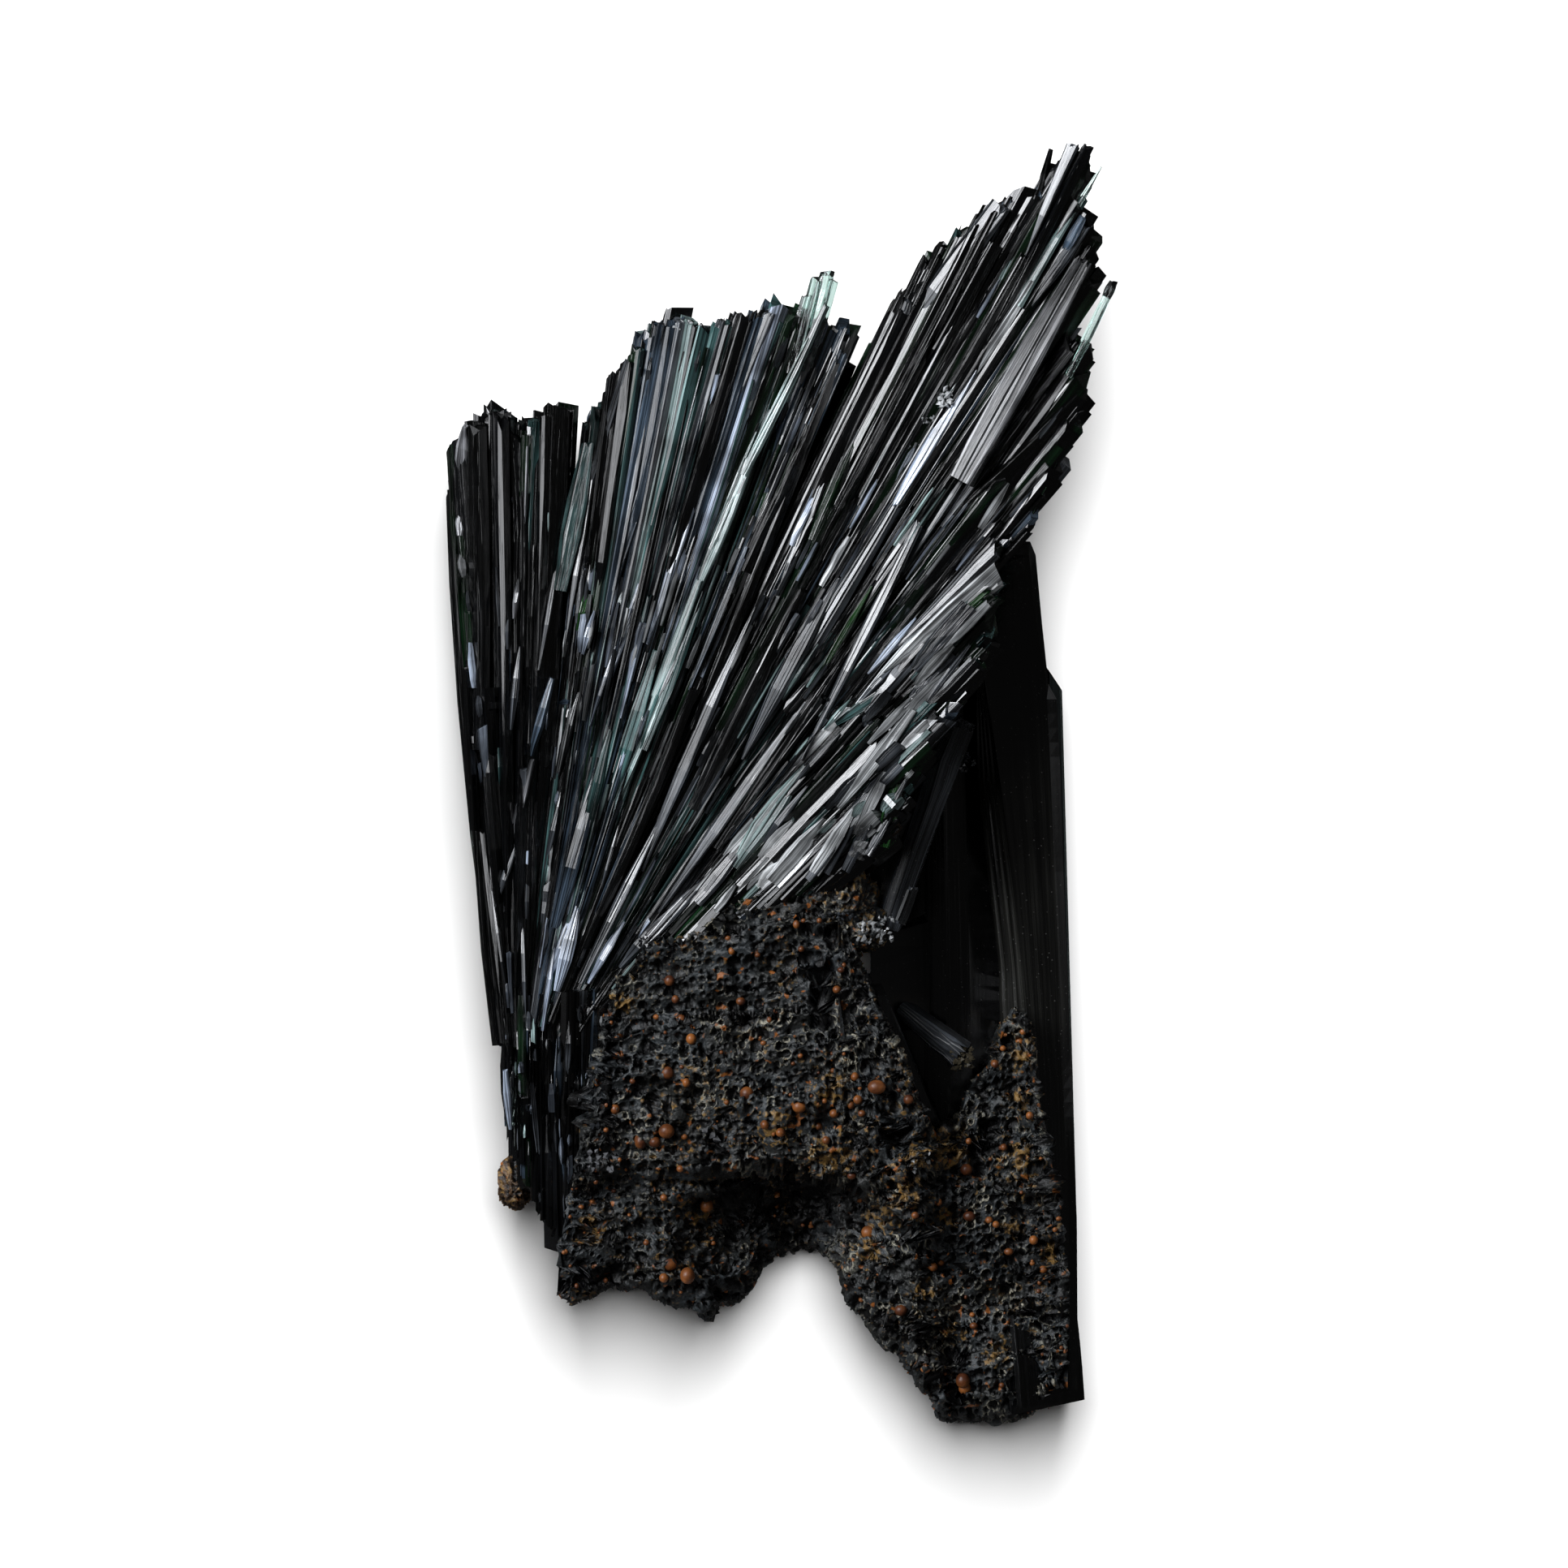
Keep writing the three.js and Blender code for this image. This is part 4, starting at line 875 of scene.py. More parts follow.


# Bands that catch the eye, the pale ones with tints that paint highlight and glow. Each row is x and y of
# both ends, the width at the lower end, in the middle and at the upper end, the lift above the front, and the
# turn away from the softbox in degrees.
bandRows = {
    "leftSpray": {
        "steelHighlight": [
            (-32.4, 31.2, -32.1, 36.6, 1, 2, .6, .9, 3), (-32.6, 25.6, -32.5, 28.8, .5, 1, .4, 1, 0),
            (-29.2, 26, -29, 30.4, .4, 1.1, .5, 1.1, 0), (-26, 25, -25.7, 34.6, .1, .3, .2, .9, 1),
            (-27.4, -5.4, -25.2, 3, .4, 1, .5, .8, 2), (-27.1, 17.2, -26.6, 21.4, .2, .7, .1, .8, 0),
        ],
        "steel": [
            (-27.4, 6, -26.5, 14.4, .2, .8, .1, .8, 1), (-29, -12, -26.6, -4.6, .1, .9, .2, .7, 2),
            (-25.9, -24, -26.3, -12, .1, .5, .1, .5, 4), (-27.6, -22, -29.4, -10, .1, .5, .2, .4, 9),
            (-23.4, 24, -22.9, 36.4, .2, .4, .3, .5, 6),
        ],
        "black": [
            (-31.1, -4.2, -31.9, 12, .9, 1.3, 1.2, .2, -40), (-31.3, 0, -33.2, 30, .9, 1.2, 1, 0, -38),
            (-30.6, 4, -31, 36.4, 1.6, 2.8, 2.6, .6, -40), (-26.9, -20, -26, 30, .8, 1.8, 1.4, .5, -42),
            (-27.8, -14, -28.6, 37.4, .8, 2.6, 2.4, .6, -45),
            (-25.4, -6, -23.8, 37.2, .9, 2.4, 1.8, .6, -42),
        ],
        "deepGreen": [(-31.6, 13, -31.9, 25, .8, 1.8, 1, .35, 36)],
    },
    "middleSpray": {
        "blueHighlight": [
            (-17.4, 11.2, -10.4, 31, .3, 1.3, .3, .6, 2), (-13.6, 14.6, -7.5, 33.4, .2, 1.1, .6, .6, 1),
            (-23.6, -19, -20.6, -11.4, .6, 1.6, .4, .6, 1), (-20.1, 13.6, -18.9, 18, .3, .8, .2, .7, 0),
            (-19.4, 6.4, -16.8, 14.4, .1, .5, .1, .5, 2),
        ],
        "tealHighlight": [
            (-16.3, -1, -8.4, 21, .6, 1.3, .7, .9, 7), (-9.3, 18.4, -3.2, 33.2, .7, 1.5, 1, .9, 5),
            (-3.9, 31.6, 4.4, 48.6, .8, 1, .7, .9, 3), (-18, -4, -11, 12, .3, .7, .3, .9, 8),
            (-8.6, 20.6, -3.4, 32.4, .2, .5, .2, .9, 1), (-3.4, 33.4, 2.6, 45.4, .2, .4, .2, .8, 1),
            (-7, 25, -2.6, 36, .2, .6, .2, .7, 2), (.4, 39, 3.4, 46.6, .3, .6, .3, .7, 1),
        ],
        "white": [
            (-5.2, 28, -3.1, 33, .1, .6, .2, .9, 0), (-12.5, 9.2, -10.5, 13.4, .1, .5, .1, .8, 0),
            (-22.6, 1.8, -21.3, 8.2, .2, .35, .1, .9, 0), (-9.6, 12.2, -8.2, 15.6, .3, .5, .1, .8, 0),
            (-19.6, 14.2, -19, 17.2, .1, .4, .1, .9, 0), (-22.6, -16.6, -21.6, -13.4, .1, .4, .1, .8, 0),
        ],
        "steel": [
            (-21.9, 14.6, -19.2, 32.8, .1, 1, .8, .5, 3), (-19.6, 30, -15.6, 43.2, .7, 1, .5, .3, 6),
            (-17.9, 15.6, -13.4, 40, .1, .5, .4, .5, 2), (-22.8, 1, -20.5, 9.8, .4, 1, .3, .6, 2),
            (-8, 32.4, -1.3, 47.8, .7, 1, 1.2, .5, 3), (-12.8, 30, -8, 46.6, .4, .9, .7, .3, 5),
            (-10.4, 32, -5.2, 46.6, .2, .5, .4, .4, 3), (-6.4, 36, -3.6, 47.2, .5, .9, .8, .3, 4),
            (-14.8, 36, -12, 46.6, .5, .9, .5, .3, 6), (-24, -8, -21.6, 2, .2, .8, .2, .5, 4),
            (3.2, 38, 6.4, 46.4, .2, .6, .3, .5, 3), (-24.6, 12, -22.6, 24, .2, .7, .2, .4, 7),
            (-15.4, 2, -13.2, 10, .1, .4, .1, .6, 2), (-18.8, -12, -16, -2, .1, .5, .1, .5, 5),
        ],
        "green": [
            (-9.6, 30.4, -6, 43, .8, 2.2, 1.4, .2, 34), (-10.8, 25, -9.2, 31, .5, 1.4, .5, .3, 34),
            (-20.7, 16, -19.6, 20.6, .3, .8, .3, .4, 34), (-20.6, 26, -19.9, 31, .3, .9, .3, .4, 30),
        ],
        "teal": [
            (-22.4, 20, -19.6, 34.8, 1.4, 2.4, 1.2, .8, 14), (-14, 4, -8, 20, 1, 1.9, .8, .8, 10),
            (-17.6, -2, -12.6, 14, .6, 1.6, .7, .8, 9), (-20.8, -8, -17.4, 6, .6, 1.5, .6, .8, 10),
        ],
        "blue": [
            (-22.9, -14, -18.6, 2, .8, 1.7, .8, .9, 8), (-25.4, 3.4, -23.2, 11.2, .5, 1.1, .5, .7, 6),
            (-9.4, 10, -3.6, 24.4, .2, .8, .3, .8, 9), (-17, 20, -12, 38, .5, 1.3, .8, .7, 10),
        ],
        "black": [
            (-16, -6, 3.2, 38, 1, 2.6, 1.6, .7, -43), (-4, 22, 5.4, 43.6, 1.2, 2.4, 2, .5, -40),
            (-9, 6, 4.6, 40.6, .6, 1.8, 1.2, .8, -46), (-20, -16, -9, 10, .5, 1.6, 1, .7, -44),
        ],
    },
    "rightSpray": {
        "steel": [
            (24.3, 53.2, 29.2, 64.6, .1, 1, 1.5, 1.3, 0), (11.6, 44.8, 21.9, 58.4, .9, 2.6, 2.2, 1.1, 4),
            (4.4, 30.3, 11.8, 44.6, .3, .9, .5, .6, 1), (10.8, 43.2, 12.7, 49, .3, 1.4, .9, .4, 5),
            (7.6, 28.6, 20.8, 53.6, .15, .45, .15, .9, 0), (-3.5, 3.8, 11.4, 28.6, .3, 2, 1.2, .6, 4),
            (1.9, 2.9, 13.8, 26.6, .2, 1.5, 1, .9, 0), (24.9, 48.6, 30.4, 56.4, .6, 1.5, .9, .5, 9),
            (-14.2, -8.2, -2.7, 18.4, .5, 1.6, .15, .7, 1), (-20.4, -19.6, -12.5, -3.4, .5, 1.2, .4, .6, 2),
            (-1.5, 16.6, 4.7, 32.6, .1, 1.1, .7, .6, 3), (4.2, 31.4, 9.4, 43.6, .6, .9, .4, .4, 6),
            (-4, 3, 5.7, 21.2, .3, 2, .4, .7, 5), (-12.5, -12.4, 2.3, 8.8, .4, 1.5, .3, .6, 4),
            (11.4, 21, 20.6, 35, .2, .8, .3, .5, 7), (16, 26.4, 24.6, 38, .3, 1, .6, .4, 10),
            (17, 41.6, 22, 50.4, .1, .4, .1, .8, 1), (14, 45, 16.6, 50.6, .2, .5, .2, .6, 3),
            (-8.6, -7.6, -1, 4.6, .1, .7, .1, .6, 2), (22.4, 36.4, 27.6, 44, .2, .6, .2, .5, 8),
        ],
        "blueHighlight": [
            (11, 28, 19.4, 42.4, .5, 1.6, 1, .9, 1), (11.4, 31, 14.6, 37, .3, .8, .2, .9, 7),
        ],
        "white": [
            (17.9, 40, 25, 51, .8, 1.4, .9, 1, 2), (19.8, 26.2, 22.7, 30.7, .5, .9, .2, .9, 0),
        ],
        "tealHighlight": [
            (23.6, 48.6, 30.2, 59.4, 1.2, 1.1, .3, .9, 5), (19.2, 45.6, 23.9, 55, .2, .8, .2, .6, 22),
            (0, 9, 3.6, 14.6, .1, .4, .1, .8, 3),
        ],
        "leaf": [(24.9, 27.4, 28.2, 35.4, .3, .9, .7, -1.4, 26)],
        "teal": [(18.2, 45.2, 23.4, 55.8, .8, 2.3, .8, .3, 34)],
        "blue": [(12.2, 29, 15.4, 36, .3, 1.3, .4, .7, 14), (28, 53.4, 30.2, 57.4, .5, 1.2, .8, .7, 14)],
        "green": [
            (2.8, 9.8, 9, 20.4, .1, .9, .2, .9, 22), (5.4, 27.6, 7.3, 32.6, .4, 1.1, .5, .5, 34),
        ],
        "deepGreen": [
            (6.6, 30, 17.2, 51.6, .9, 2.6, 1.6, .8, -42), (9.6, 31.4, 18.8, 49, .6, 2.2, 1.2, .9, -40),
            (-6.6, 6, 5, 28, .5, 1.8, 1, .6, -40), (3, 25, 9.6, 40.6, .8, 1.8, 1.4, .8, -40),
        ],
        "black": [
            (17.8, 39.6, 30.6, 64.4, .8, 1.8, 1.2, 1.1, -42), (25.4, 57.4, 27, 64.4, .9, .7, .2, .4, -44),
            (12, 38, 21.2, 54.6, 1, 2.8, 1.4, 1.2, -42), (14.4, 36, 24.4, 53.6, 1, 2.2, 1.4, .9, -40),
            (19.6, 28.6, 30.6, 44.4, 1.4, 3.4, 2.2, .3, -34), (17.2, 27.2, 29.6, 39.6, 1.2, 3, 1.8, .2, -38),
            (-9, -2, 2, 20, 1.2, 2.4, 1, .6, -42), (-6.6, -6, 8.4, 16.6, 1.2, 2.2, 1, .5, -42),
        ],
    },
    "lowerSpray": {
        "white": [
            (10.2, 11.7, 21.2, 21.5, .15, 1.7, 2.3, 1.5, 0), (5.6, -1.8, 13.1, 8, .6, 2, .9, 1.4, 0),
            (-1, -9.4, 4.4, -3.1, 1.8, 2.4, .8, 1.4, 1), (-6.8, -12.2, -4.8, -9.6, .9, 1.1, .5, 1.2, 0),
            (15.6, 13.6, 20.6, 18.6, .3, 1.6, .9, 1.2, 1), (7.6, -3.8, 10.8, 2.4, .9, 1.5, .5, 1.2, 1),
            (3.2, -8.4, 7.2, -2, 1.2, 1.6, .6, 1.3, 0), (8.6, 4.6, 13.4, 9.6, .3, 1.2, .4, 1.2, 0),
        ],
        "steel": [
            (10.6, 13.4, 21.4, 24.2, .2, 1.3, 2.2, 1.3, 4), (4.4, -8.4, 8.6, -.2, 1, 1.4, .4, .8, 2),
            (6.4, -8.2, 9.8, -1.2, 1, 1.3, .4, .7, 5), (8.6, -6.6, 11.4, -1.6, .8, 1.1, .4, .6, -4),
            (2.6, -9, 6.4, -4, 1, 1.3, .6, .8, 3), (-8.6, -11.4, -3, -4.4, 1.4, 1.9, .3, .7, 3),
            (-13.6, -15.4, -7.4, -8.6, .7, 1.3, .2, .6, 3), (1, .4, 5.8, 5.6, .2, 1, .2, .7, 3),
            (7.4, 8.4, 11.6, 12.8, .2, .8, .2, .7, 4), (-2.4, -6, 2.6, .4, .2, .9, .2, .7, 4),
            (14, 8, 18.8, 14.4, .2, .8, .3, .5, 8), (9.6, -4, 12.8, 1.6, .3, .8, .3, .5, 6),
            (-16.4, -18, -11.6, -12.4, .5, 1.2, .2, .5, 3), (10.8, 6.8, 14.6, 10.4, .1, .6, .1, .7, 3),
        ],
        "blueHighlight": [(8.6, 11.6, 13.4, 17.2, .2, 1, .2, .7, 6)],
        "tealHighlight": [
            (-4.8, -7.8, 2.4, 2.4, 1.2, 2.3, .5, .5, 12), (4.2, 6, 6.8, 9, .1, .6, .1, .7, 4),
        ],
        "teal": [(5.4, 6.6, 12.2, 11.2, .5, 1.3, .4, .3, 22), (13, 11, 18, 15.4, .5, 1.2, .5, .3, 26)],
        "green": [
            (10.2, -5.8, 11.6, 1.4, 1, 2.1, .7, .4, 24), (15, 14.6, 20.6, 19.8, .4, 1.4, .8, .5, 30),
        ],
        "deepGreen": [(11, 12, 21, 19.6, .3, 1.9, 2.4, .5, 36), (13.6, 4, 19.8, 12.6, .8, 2.2, 1.4, .2, 40)],
    },
    "rootSpray": {
        "steel": [(-24.6, -38, -25.4, -28, .2, .6, .2, .4, 10), (-21.8, -30, -21.4, -23, .2, .7, .2, .4, 8)],
        "blue": [(-22.8, -34, -22.6, -25, .4, 1, .4, .3, 16)],
        "blueHighlight": [
            (-27.5, -34.4, -28, -28.4, .3, .9, .4, 1, 2), (-22.8, -20.4, -20.6, -12, .6, 1.7, .5, 1, 1),
            (-19.6, -19.6, -16, -13.4, .3, 1, .3, .8, 2), (-24.2, -24.4, -23, -16, .2, .5, .1, .9, 1),
        ],
    },
}


bandLook = {
    "depthShare": 0.5,       # depth, of the greatest width
    "leastDepth": 0.5,
    "gloss": (0.07, 0.18),
    "sink": 0.5,
    "chisel": 0.3,
    "flats": 5,
    "whiteFlats": 2,
}


def bandBlades(rows, tintName, rng):
    # one blade for each row, lifted off the front height
    values = np.array(rows, float)
    widths = values[:, 4:7]
    depth = np.maximum(bandLook["depthShare"] * widths.max(1), bandLook["leastDepth"])
    lift = values[:, 7]
    ends = []
    for place in (values[:, 0:2], values[:, 2:4]):
        height = frontHeight(place) + lift - depth / 2
        ends.append(np.concatenate([place, height[:, None]], 1))
    roll = rollToLight(ends[0], ends[1]) + np.radians(values[:, 8])
    tint = np.tile(np.array(tints[tintName]), (len(rows), 1))
    gloss = rng.uniform(*bandLook["gloss"], len(rows))
    sink = bandLook["sink"] * (widths[:, [0, 2]] < 0.5 * widths[:, 1:2])
    flats = bandLook["whiteFlats"] if tintName == "white" else bandLook["flats"]
    return bladeSet(
        ends[0], ends[1], widths, depth, roll, tint, gloss, rng, sink, bandLook["chisel"], flats,
    )


for name, fork in forks.items():
    rng = np.random.default_rng(len(name) * 7 + 3)       # the same draws in every run
    sets = forkBlades(completeFork(fork), rng)
    for tintName, rows in bandRows.get(name, {}).items():
        sets.append(bandBlades(rows, tintName, rng))
    bladePiece(name, sets, materials["vivianite"], (fork["node"],))
print("stage: spray")


# single crystals with straight sides

singleRows = {
    # x, y, height of the front at both ends; widths at the start, in the middle and at the end; thickness,
    # turn away from the softbox in degrees, roughness, tint, finish, flats, twist, nodes it stands for
    "slabCrystal": (
        (18.0, 30.9, 29.8), (30.2, 52.8, 29.8), (2.5, 3.2, 1.9), 1.6, 4, 0.26, "steelHighlight", "vivianite", 9, 9,
        (),
    ),
    "flankCrystal": (
        (10.4, -13.8, 20.2), (17.0, 6.4, 23.4), (3.4, 4.0, 5.2), 3.0, 10, 0.26, "steel", "smooth", 3, 3,
        ("flank_blade",),
    ),
    "stubCrystal": (
        (11.9, -13.6, 23.6), (13.2, -10.0, 23.8), (1.0, 1.1, 1.0), 1.2, 20, 0.15, "steel", "smooth", 2, 0,
        ("stub_crystal",),
    ),
    "needleEnd": (
        (32.5, 49.4, 29.3), (33.2, 50.9, 29.2), (0.9, 1.1, 0.8), 1.0, 30, 0.2, "black", "vivianite", 2, 0, (),
    ),
    # painted highlight: a thin white blade laid along the stub crystal's edge
    "stubEdge": (
        (11.5, -13.2, 23.9), (12.7, -10.1, 24.1), (0.25, 0.3, 0.2), 0.3, 0, 0.2, "white", "smooth", 2, 0, (),
    ),
    "brokenCrystal": (
        (12.2, -22.2, 12.6), (18.2, -27.0, 14.8), (1.6, 2.4, 3.0), 2.6, 17, 0.3, "steel", "vivianite", 9, 0,
        ("broken_crystal",),
    ),
    "recessFace": (
        (12.2, -24.4, 9.3), (12.2, -14.2, 9.9), (5.6, 5.8, 5.4), 1.2, 16, 0.3, "black", "smooth", 1, 0, (),
    ),
    "cornerCrystal": (
        (26.0, -53.0, 17.5), (26.7, -62.6, 17.2), (2.2, 3.0, 3.0), 8.0, 40, 0.2, "black", "vivianite", 5, 0,
        ("corner_prism",),
    ),
}


singleChisel = 0.12          # slant of the ends


def crystalSet(values, tint, gloss, rng, **shape):
    # blades whose front has the given height: values are x, y, height at both ends, three widths,
    # the thickness, and the turn in degrees
    root, tip = values[:, 0:3].copy(), values[:, 3:6].copy()
    thick = values[:, 9]
    root[:, 2] -= thick / 2
    tip[:, 2] -= thick / 2
    roll = rollToLight(root, tip) + np.radians(values[:, 10])
    return bladeSet(root, tip, values[:, 6:9], thick, roll, tint, gloss, rng, **shape)


def singleCrystal(name, row, seed):
    first, last, widths, thick, turn, gloss, tintName, finish, flats, twist, nodes = row
    values = np.array([[*first, *last, *widths, thick, turn]], float)
    tint = np.array([tints[tintName]])
    highlightAtTip = 0.25 if tintName == "steelHighlight" else 1.0      # the painted highlight of the pale slab fades to a quarter towards its tip
    made = crystalSet(
        values, tint, np.array([gloss]), np.random.default_rng(seed), chisel=singleChisel, flats=flats,
        twist=np.array([float(twist)]), tipTint=highlightAtTip * tint,
    )
    bladePiece(name, [made], materials[finish], nodes)


for seed, (name, row) in enumerate(singleRows.items()):
    singleCrystal(name, row, seed)


# the long dark prism on the right, and the broad one behind the recess

prismLines = {
    # lines that run along Y, each a row of (y, x, z), in order round the body from its left side over the top
    "sideCrystal": {
        "node": "side_prism", "tint": "brown", "striated": (1,), "gloss": 0.16, "rows": 60,
        "lines": [
            [(-61, 24.6, 1.0), (-22, 22.4, 0.4), (0, 20.2, 0.3), (25.2, 19.6, 0.3)],
            [(-61, 25.2, 12.6), (-45, 24.4, 12.6), (-22, 22.0, 12.9), (-18, 22.0, 13.0), (-10, 21.0, 13.2),
             (0, 19.9, 13.6), (12, 19.6, 14.2), (25.2, 20.4, 14.8)],
            [(-61, 26.6, 14.2), (-45, 26.2, 14.4), (-22, 24.6, 14.9), (-11, 23.6, 15.1), (0, 22.2, 15.5),
             (9, 20.9, 15.8), (14, 20.2, 15.9), (25.2, 20.9, 16.4)],
            [(-61, 29.4, 13.8), (-45, 29.1, 13.9), (-28, 28.4, 14.2), (-8, 27.6, 14.6), (4, 27.1, 15.0),
             (11, 26.7, 15.4), (17, 25.7, 16.2), (25.2, 24.8, 16.8)],
            [(-61, 30.0, 13.6), (-44, 29.9, 13.9), (-28, 29.3, 13.9), (-8, 28.5, 14.3), (4, 28.1, 14.7),
             (9.4, 27.8, 15.1), (10.6, 27.0, 15.0), (17, 26.3, 15.8), (24.4, 25.6, 16.4), (25.2, 25.1, 16.5)],
            [(-61, 29.6, 1.0), (-28, 28.8, 0.4), (10, 27.0, 0.3), (25.2, 24.8, 0.3)],
        ],
    },
    "backCrystal": {
        "node": "back_prism", "tint": "black", "striated": (), "gloss": 0.16, "rows": 30,
        "lines": [
            [(-40.1, 9.6, 0.9), (10.4, 9.2, 1.4)],
            [(-40.1, 9.2, 8.2), (10.4, 8.8, 8.4)],
            [(-40.1, 14.4, 8.4), (10.4, 14.6, 8.8)],
            [(-40.1, 17.0, 8.6), (10.4, 16.2, 9.0)],
            [(-40.1, 19.6, 8.3), (10.4, 18.4, 8.7)],
            [(-40.1, 24.0, 7.4), (10.4, 22.6, 7.6)],
            [(-40.1, 24.0, 0.9), (10.4, 22.6, 1.4)],
        ],
    },
}


# painted sheen: the striated face of a prism gets 2.4 times the prism's tint, so that it reads lighter
prismSteps = {"count": 9, "riser": 0.02, "height": 0.07, "wander": 0.03, "shade": 2.4}


def pointsOn(line, y):
    return np.stack([np.interp(y, line[:, 0], line[:, 1]), y, np.interp(y, line[:, 0], line[:, 2])], -1)


def prismPiece(name, look):
    # A ring of points at each y: one on every line, and stepped ones between the lines of a striated face
    lines = [np.array(line, float) for line in look["lines"]]
    low, high = lines[0][0, 0], lines[0][-1, 0]
    y = np.linspace(low, high, look["rows"])
    rng = np.random.default_rng(12)
    columns, shades = [], []
    for k, line in enumerate(lines):
        here = pointsOn(line, y)
        columns.append(here)
        shades.append(1.0)
        if k in look["striated"]:
            after = pointsOn(lines[k + 1], y)
            edges = np.arange(1, prismSteps["count"]) / prismSteps["count"]
            for share in np.sort(np.concatenate([edges, edges + prismSteps["riser"]])):
                raised = prismSteps["height"] * (int(share * prismSteps["count"] + 0.05) % 2)
                raised = raised + prismSteps["wander"] * lumps(y / 14 + 9 * share, 5 + 0 * y)
                columns.append(mix(here, after, share) + np.stack([0 * y, 0 * y, raised], -1))
                # painted sheen on the striated face
                shades.append(prismSteps["shade"])
    grid = np.stack(columns, 1)
    low, high = np.array(cadBox) / mm
    grid = np.clip(grid, low, high)
    rows, corners = grid.shape[:2]
    grid[-1, :, 1] += rng.uniform(-0.5, 0.1, corners)
    r, k = np.meshgrid(np.arange(rows - 1), np.arange(corners), indexing="ij")
    nextK = (k + 1) % corners
    lower, upper = r * corners, (r + 1) * corners
    quads = np.stack([lower + k, lower + nextK, upper + nextK, upper + k], -1)
    around = np.cumsum(np.linalg.norm(np.roll(grid[0], -1, 0) - grid[0], axis=1))
    start, stop = np.concatenate([[0], around[:-1]])[k], around[k]
    pairs = ((start, y[r]), (stop, y[r]), (stop, y[r + 1]), (start, y[r + 1]))
    side = np.stack([np.stack(pair, -1) for pair in pairs], 2)
    caps = [np.arange(corners)[::-1].tolist(), (np.arange(corners) + (rows - 1) * corners).tolist()]
    flat = grid[0][:, [0, 2]]
    strand = np.concatenate([side.reshape(-1, 2), flat[::-1], flat])
    colour = np.tile((*tints[look["tint"]], 1.0), (rows * corners, 1)) * np.tile(shades, rows)[:, None]
    fields = {"tint": colour, "gloss": np.full(rows * corners, look["gloss"])}
    makePiece(name, grid.reshape(-1, 3), quads.reshape(-1, 4).tolist() + caps, materials["smooth"],
              (look["node"],), strand, fields)


for name, look in prismLines.items():
    prismPiece(name, look)


# two CAD crystals keep their shape and get a better finish
for node, finish in (("edge_slab", "edgeSlab"), ("rim_blade", "rimBlade")):
    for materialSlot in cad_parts[node].material_slots:
        materialSlot.material = materials[finish]
print("stage: single crystals")


# clear crystals

clearCrystals = {
    # x, y, height at both ends, widths at the start, in the middle and at the end, thickness, turn in degrees
    "clearTip": [
        (.4, 42, 24.8, 2.6, 49.6, 25.6, 1, 1.2, 1, 1.2, 4),
        (1.2, 42, 25.2, 3.6, 51.4, 26.1, 1.2, 1.5, 1.3, 1.5, 12),
        (1.9, 42.2, 25.2, 4.5, 51.9, 26.1, 1.2, 1.5, 1.2, 1.5, 2),
        (2.6, 42.6, 24.8, 5.3, 51.2, 25.8, .9, 1, .8, 1.2, 20),
    ],
    "needle": [(28.6, 41.4, 29.6, 33, 50.3, 29.2, .95, .95, .8, .8, 10)],
    "splinter": [(28.4, 56.6, 28.6, 32, 62.5, 28.9, .8, .6, .15, .5, 12)],
    "stubTip": [(-31, -1.6, 15, -30.8, -6.5, 14.8, 1.3, 1.3, .9, 1.3, 12)],
    "rootChips": [
        (-27.6, -34, 18, -27.2, -28.6, 18.6, .5, 1.1, .4, 1, 5),
        (-26.9, -36.6, 17.4, -26.6, -31.6, 18, .3, .8, .3, .8, 2),
    ],
}


def clearPiece(name, rows):
    white = np.ones((len(rows), 3))
    gloss = np.full(len(rows), clearLook["roughness"])
    made = crystalSet(np.array(rows, float), white, gloss, np.random.default_rng(5), chisel=0.3, flats=4)
    bladePiece(name, [made], materials["clear"])


for name, rows in clearCrystals.items():
    clearPiece(name, rows)
print("stage: clear crystals")


# rock

rockHead = [
    (-22.6, -46.6), (-21.8, -43), (-20.8, -38), (-20, -33.5), (-19.2, -28.5), (-18, -23.6), (-16.6, -19.4),
    (-15, -17.4), (-13, -15.5), (-10, -15.2), (-7, -13), (-5, -11.5), (-2, -10.4), (.4, -9.7), (2.4, -9.3),
    (4.6, -10.4), (6.2, -13.2), (7.4, -16.6), (10, -22.6), (12.4, -27.6), (14.8, -33.2), (15.9, -34.9),
    (16.9, -33.6), (17.6, -34.4), (18.6, -31.4), (19.8, -29.4), (21.2, -27.4), (22.2, -24.6), (23.4, -22),
    (24.8, -23.2), (25.5, -28), (26.3, -33.6), (27.1, -38), (27.9, -42.4), (28.4, -46.5), (28.8, -53),
]
rockFoot = [
    (-22.6, -50.6), (-22, -51.2), (-21.4, -51.8), (-20, -51.3), (-18.2, -50.3), (-17, -49.6), (-16.3, -50.3),
    (-13.9, -50.2), (-12.6, -51.8), (-11, -52.1), (-8.8, -52.3), (-8.3, -53.2), (-7.3, -53.8), (-6.6, -52.4),
    (-5, -51.9), (-3.5, -51), (-2.8, -49.6), (-1.2, -47.3), (0, -46.7), (2, -46.3), (3.6, -46.1),
    (4.9, -47.2), (6.1, -48.9), (6.7, -52), (8.5, -53.3), (9.6, -55.2), (10.6, -56.3), (12, -56.8),
    (13, -58.6), (14.3, -61), (15.2, -60.9), (15.7, -63.4), (16.5, -63.8), (18, -63.9), (20, -63.7),
    (22, -63.9), (23.5, -63.7), (24.9, -63.4), (26.2, -62.4), (28, -61.6), (28.8, -60.6),
]
ledgeLine = [
    (-22.6, -40.5), (-16, -37.8), (-10, -38.6), (0, -38), (8, -40.2), (11, -43), (15, -45.6), (19, -49),
    (23, -51), (28.8, -52.5),
]
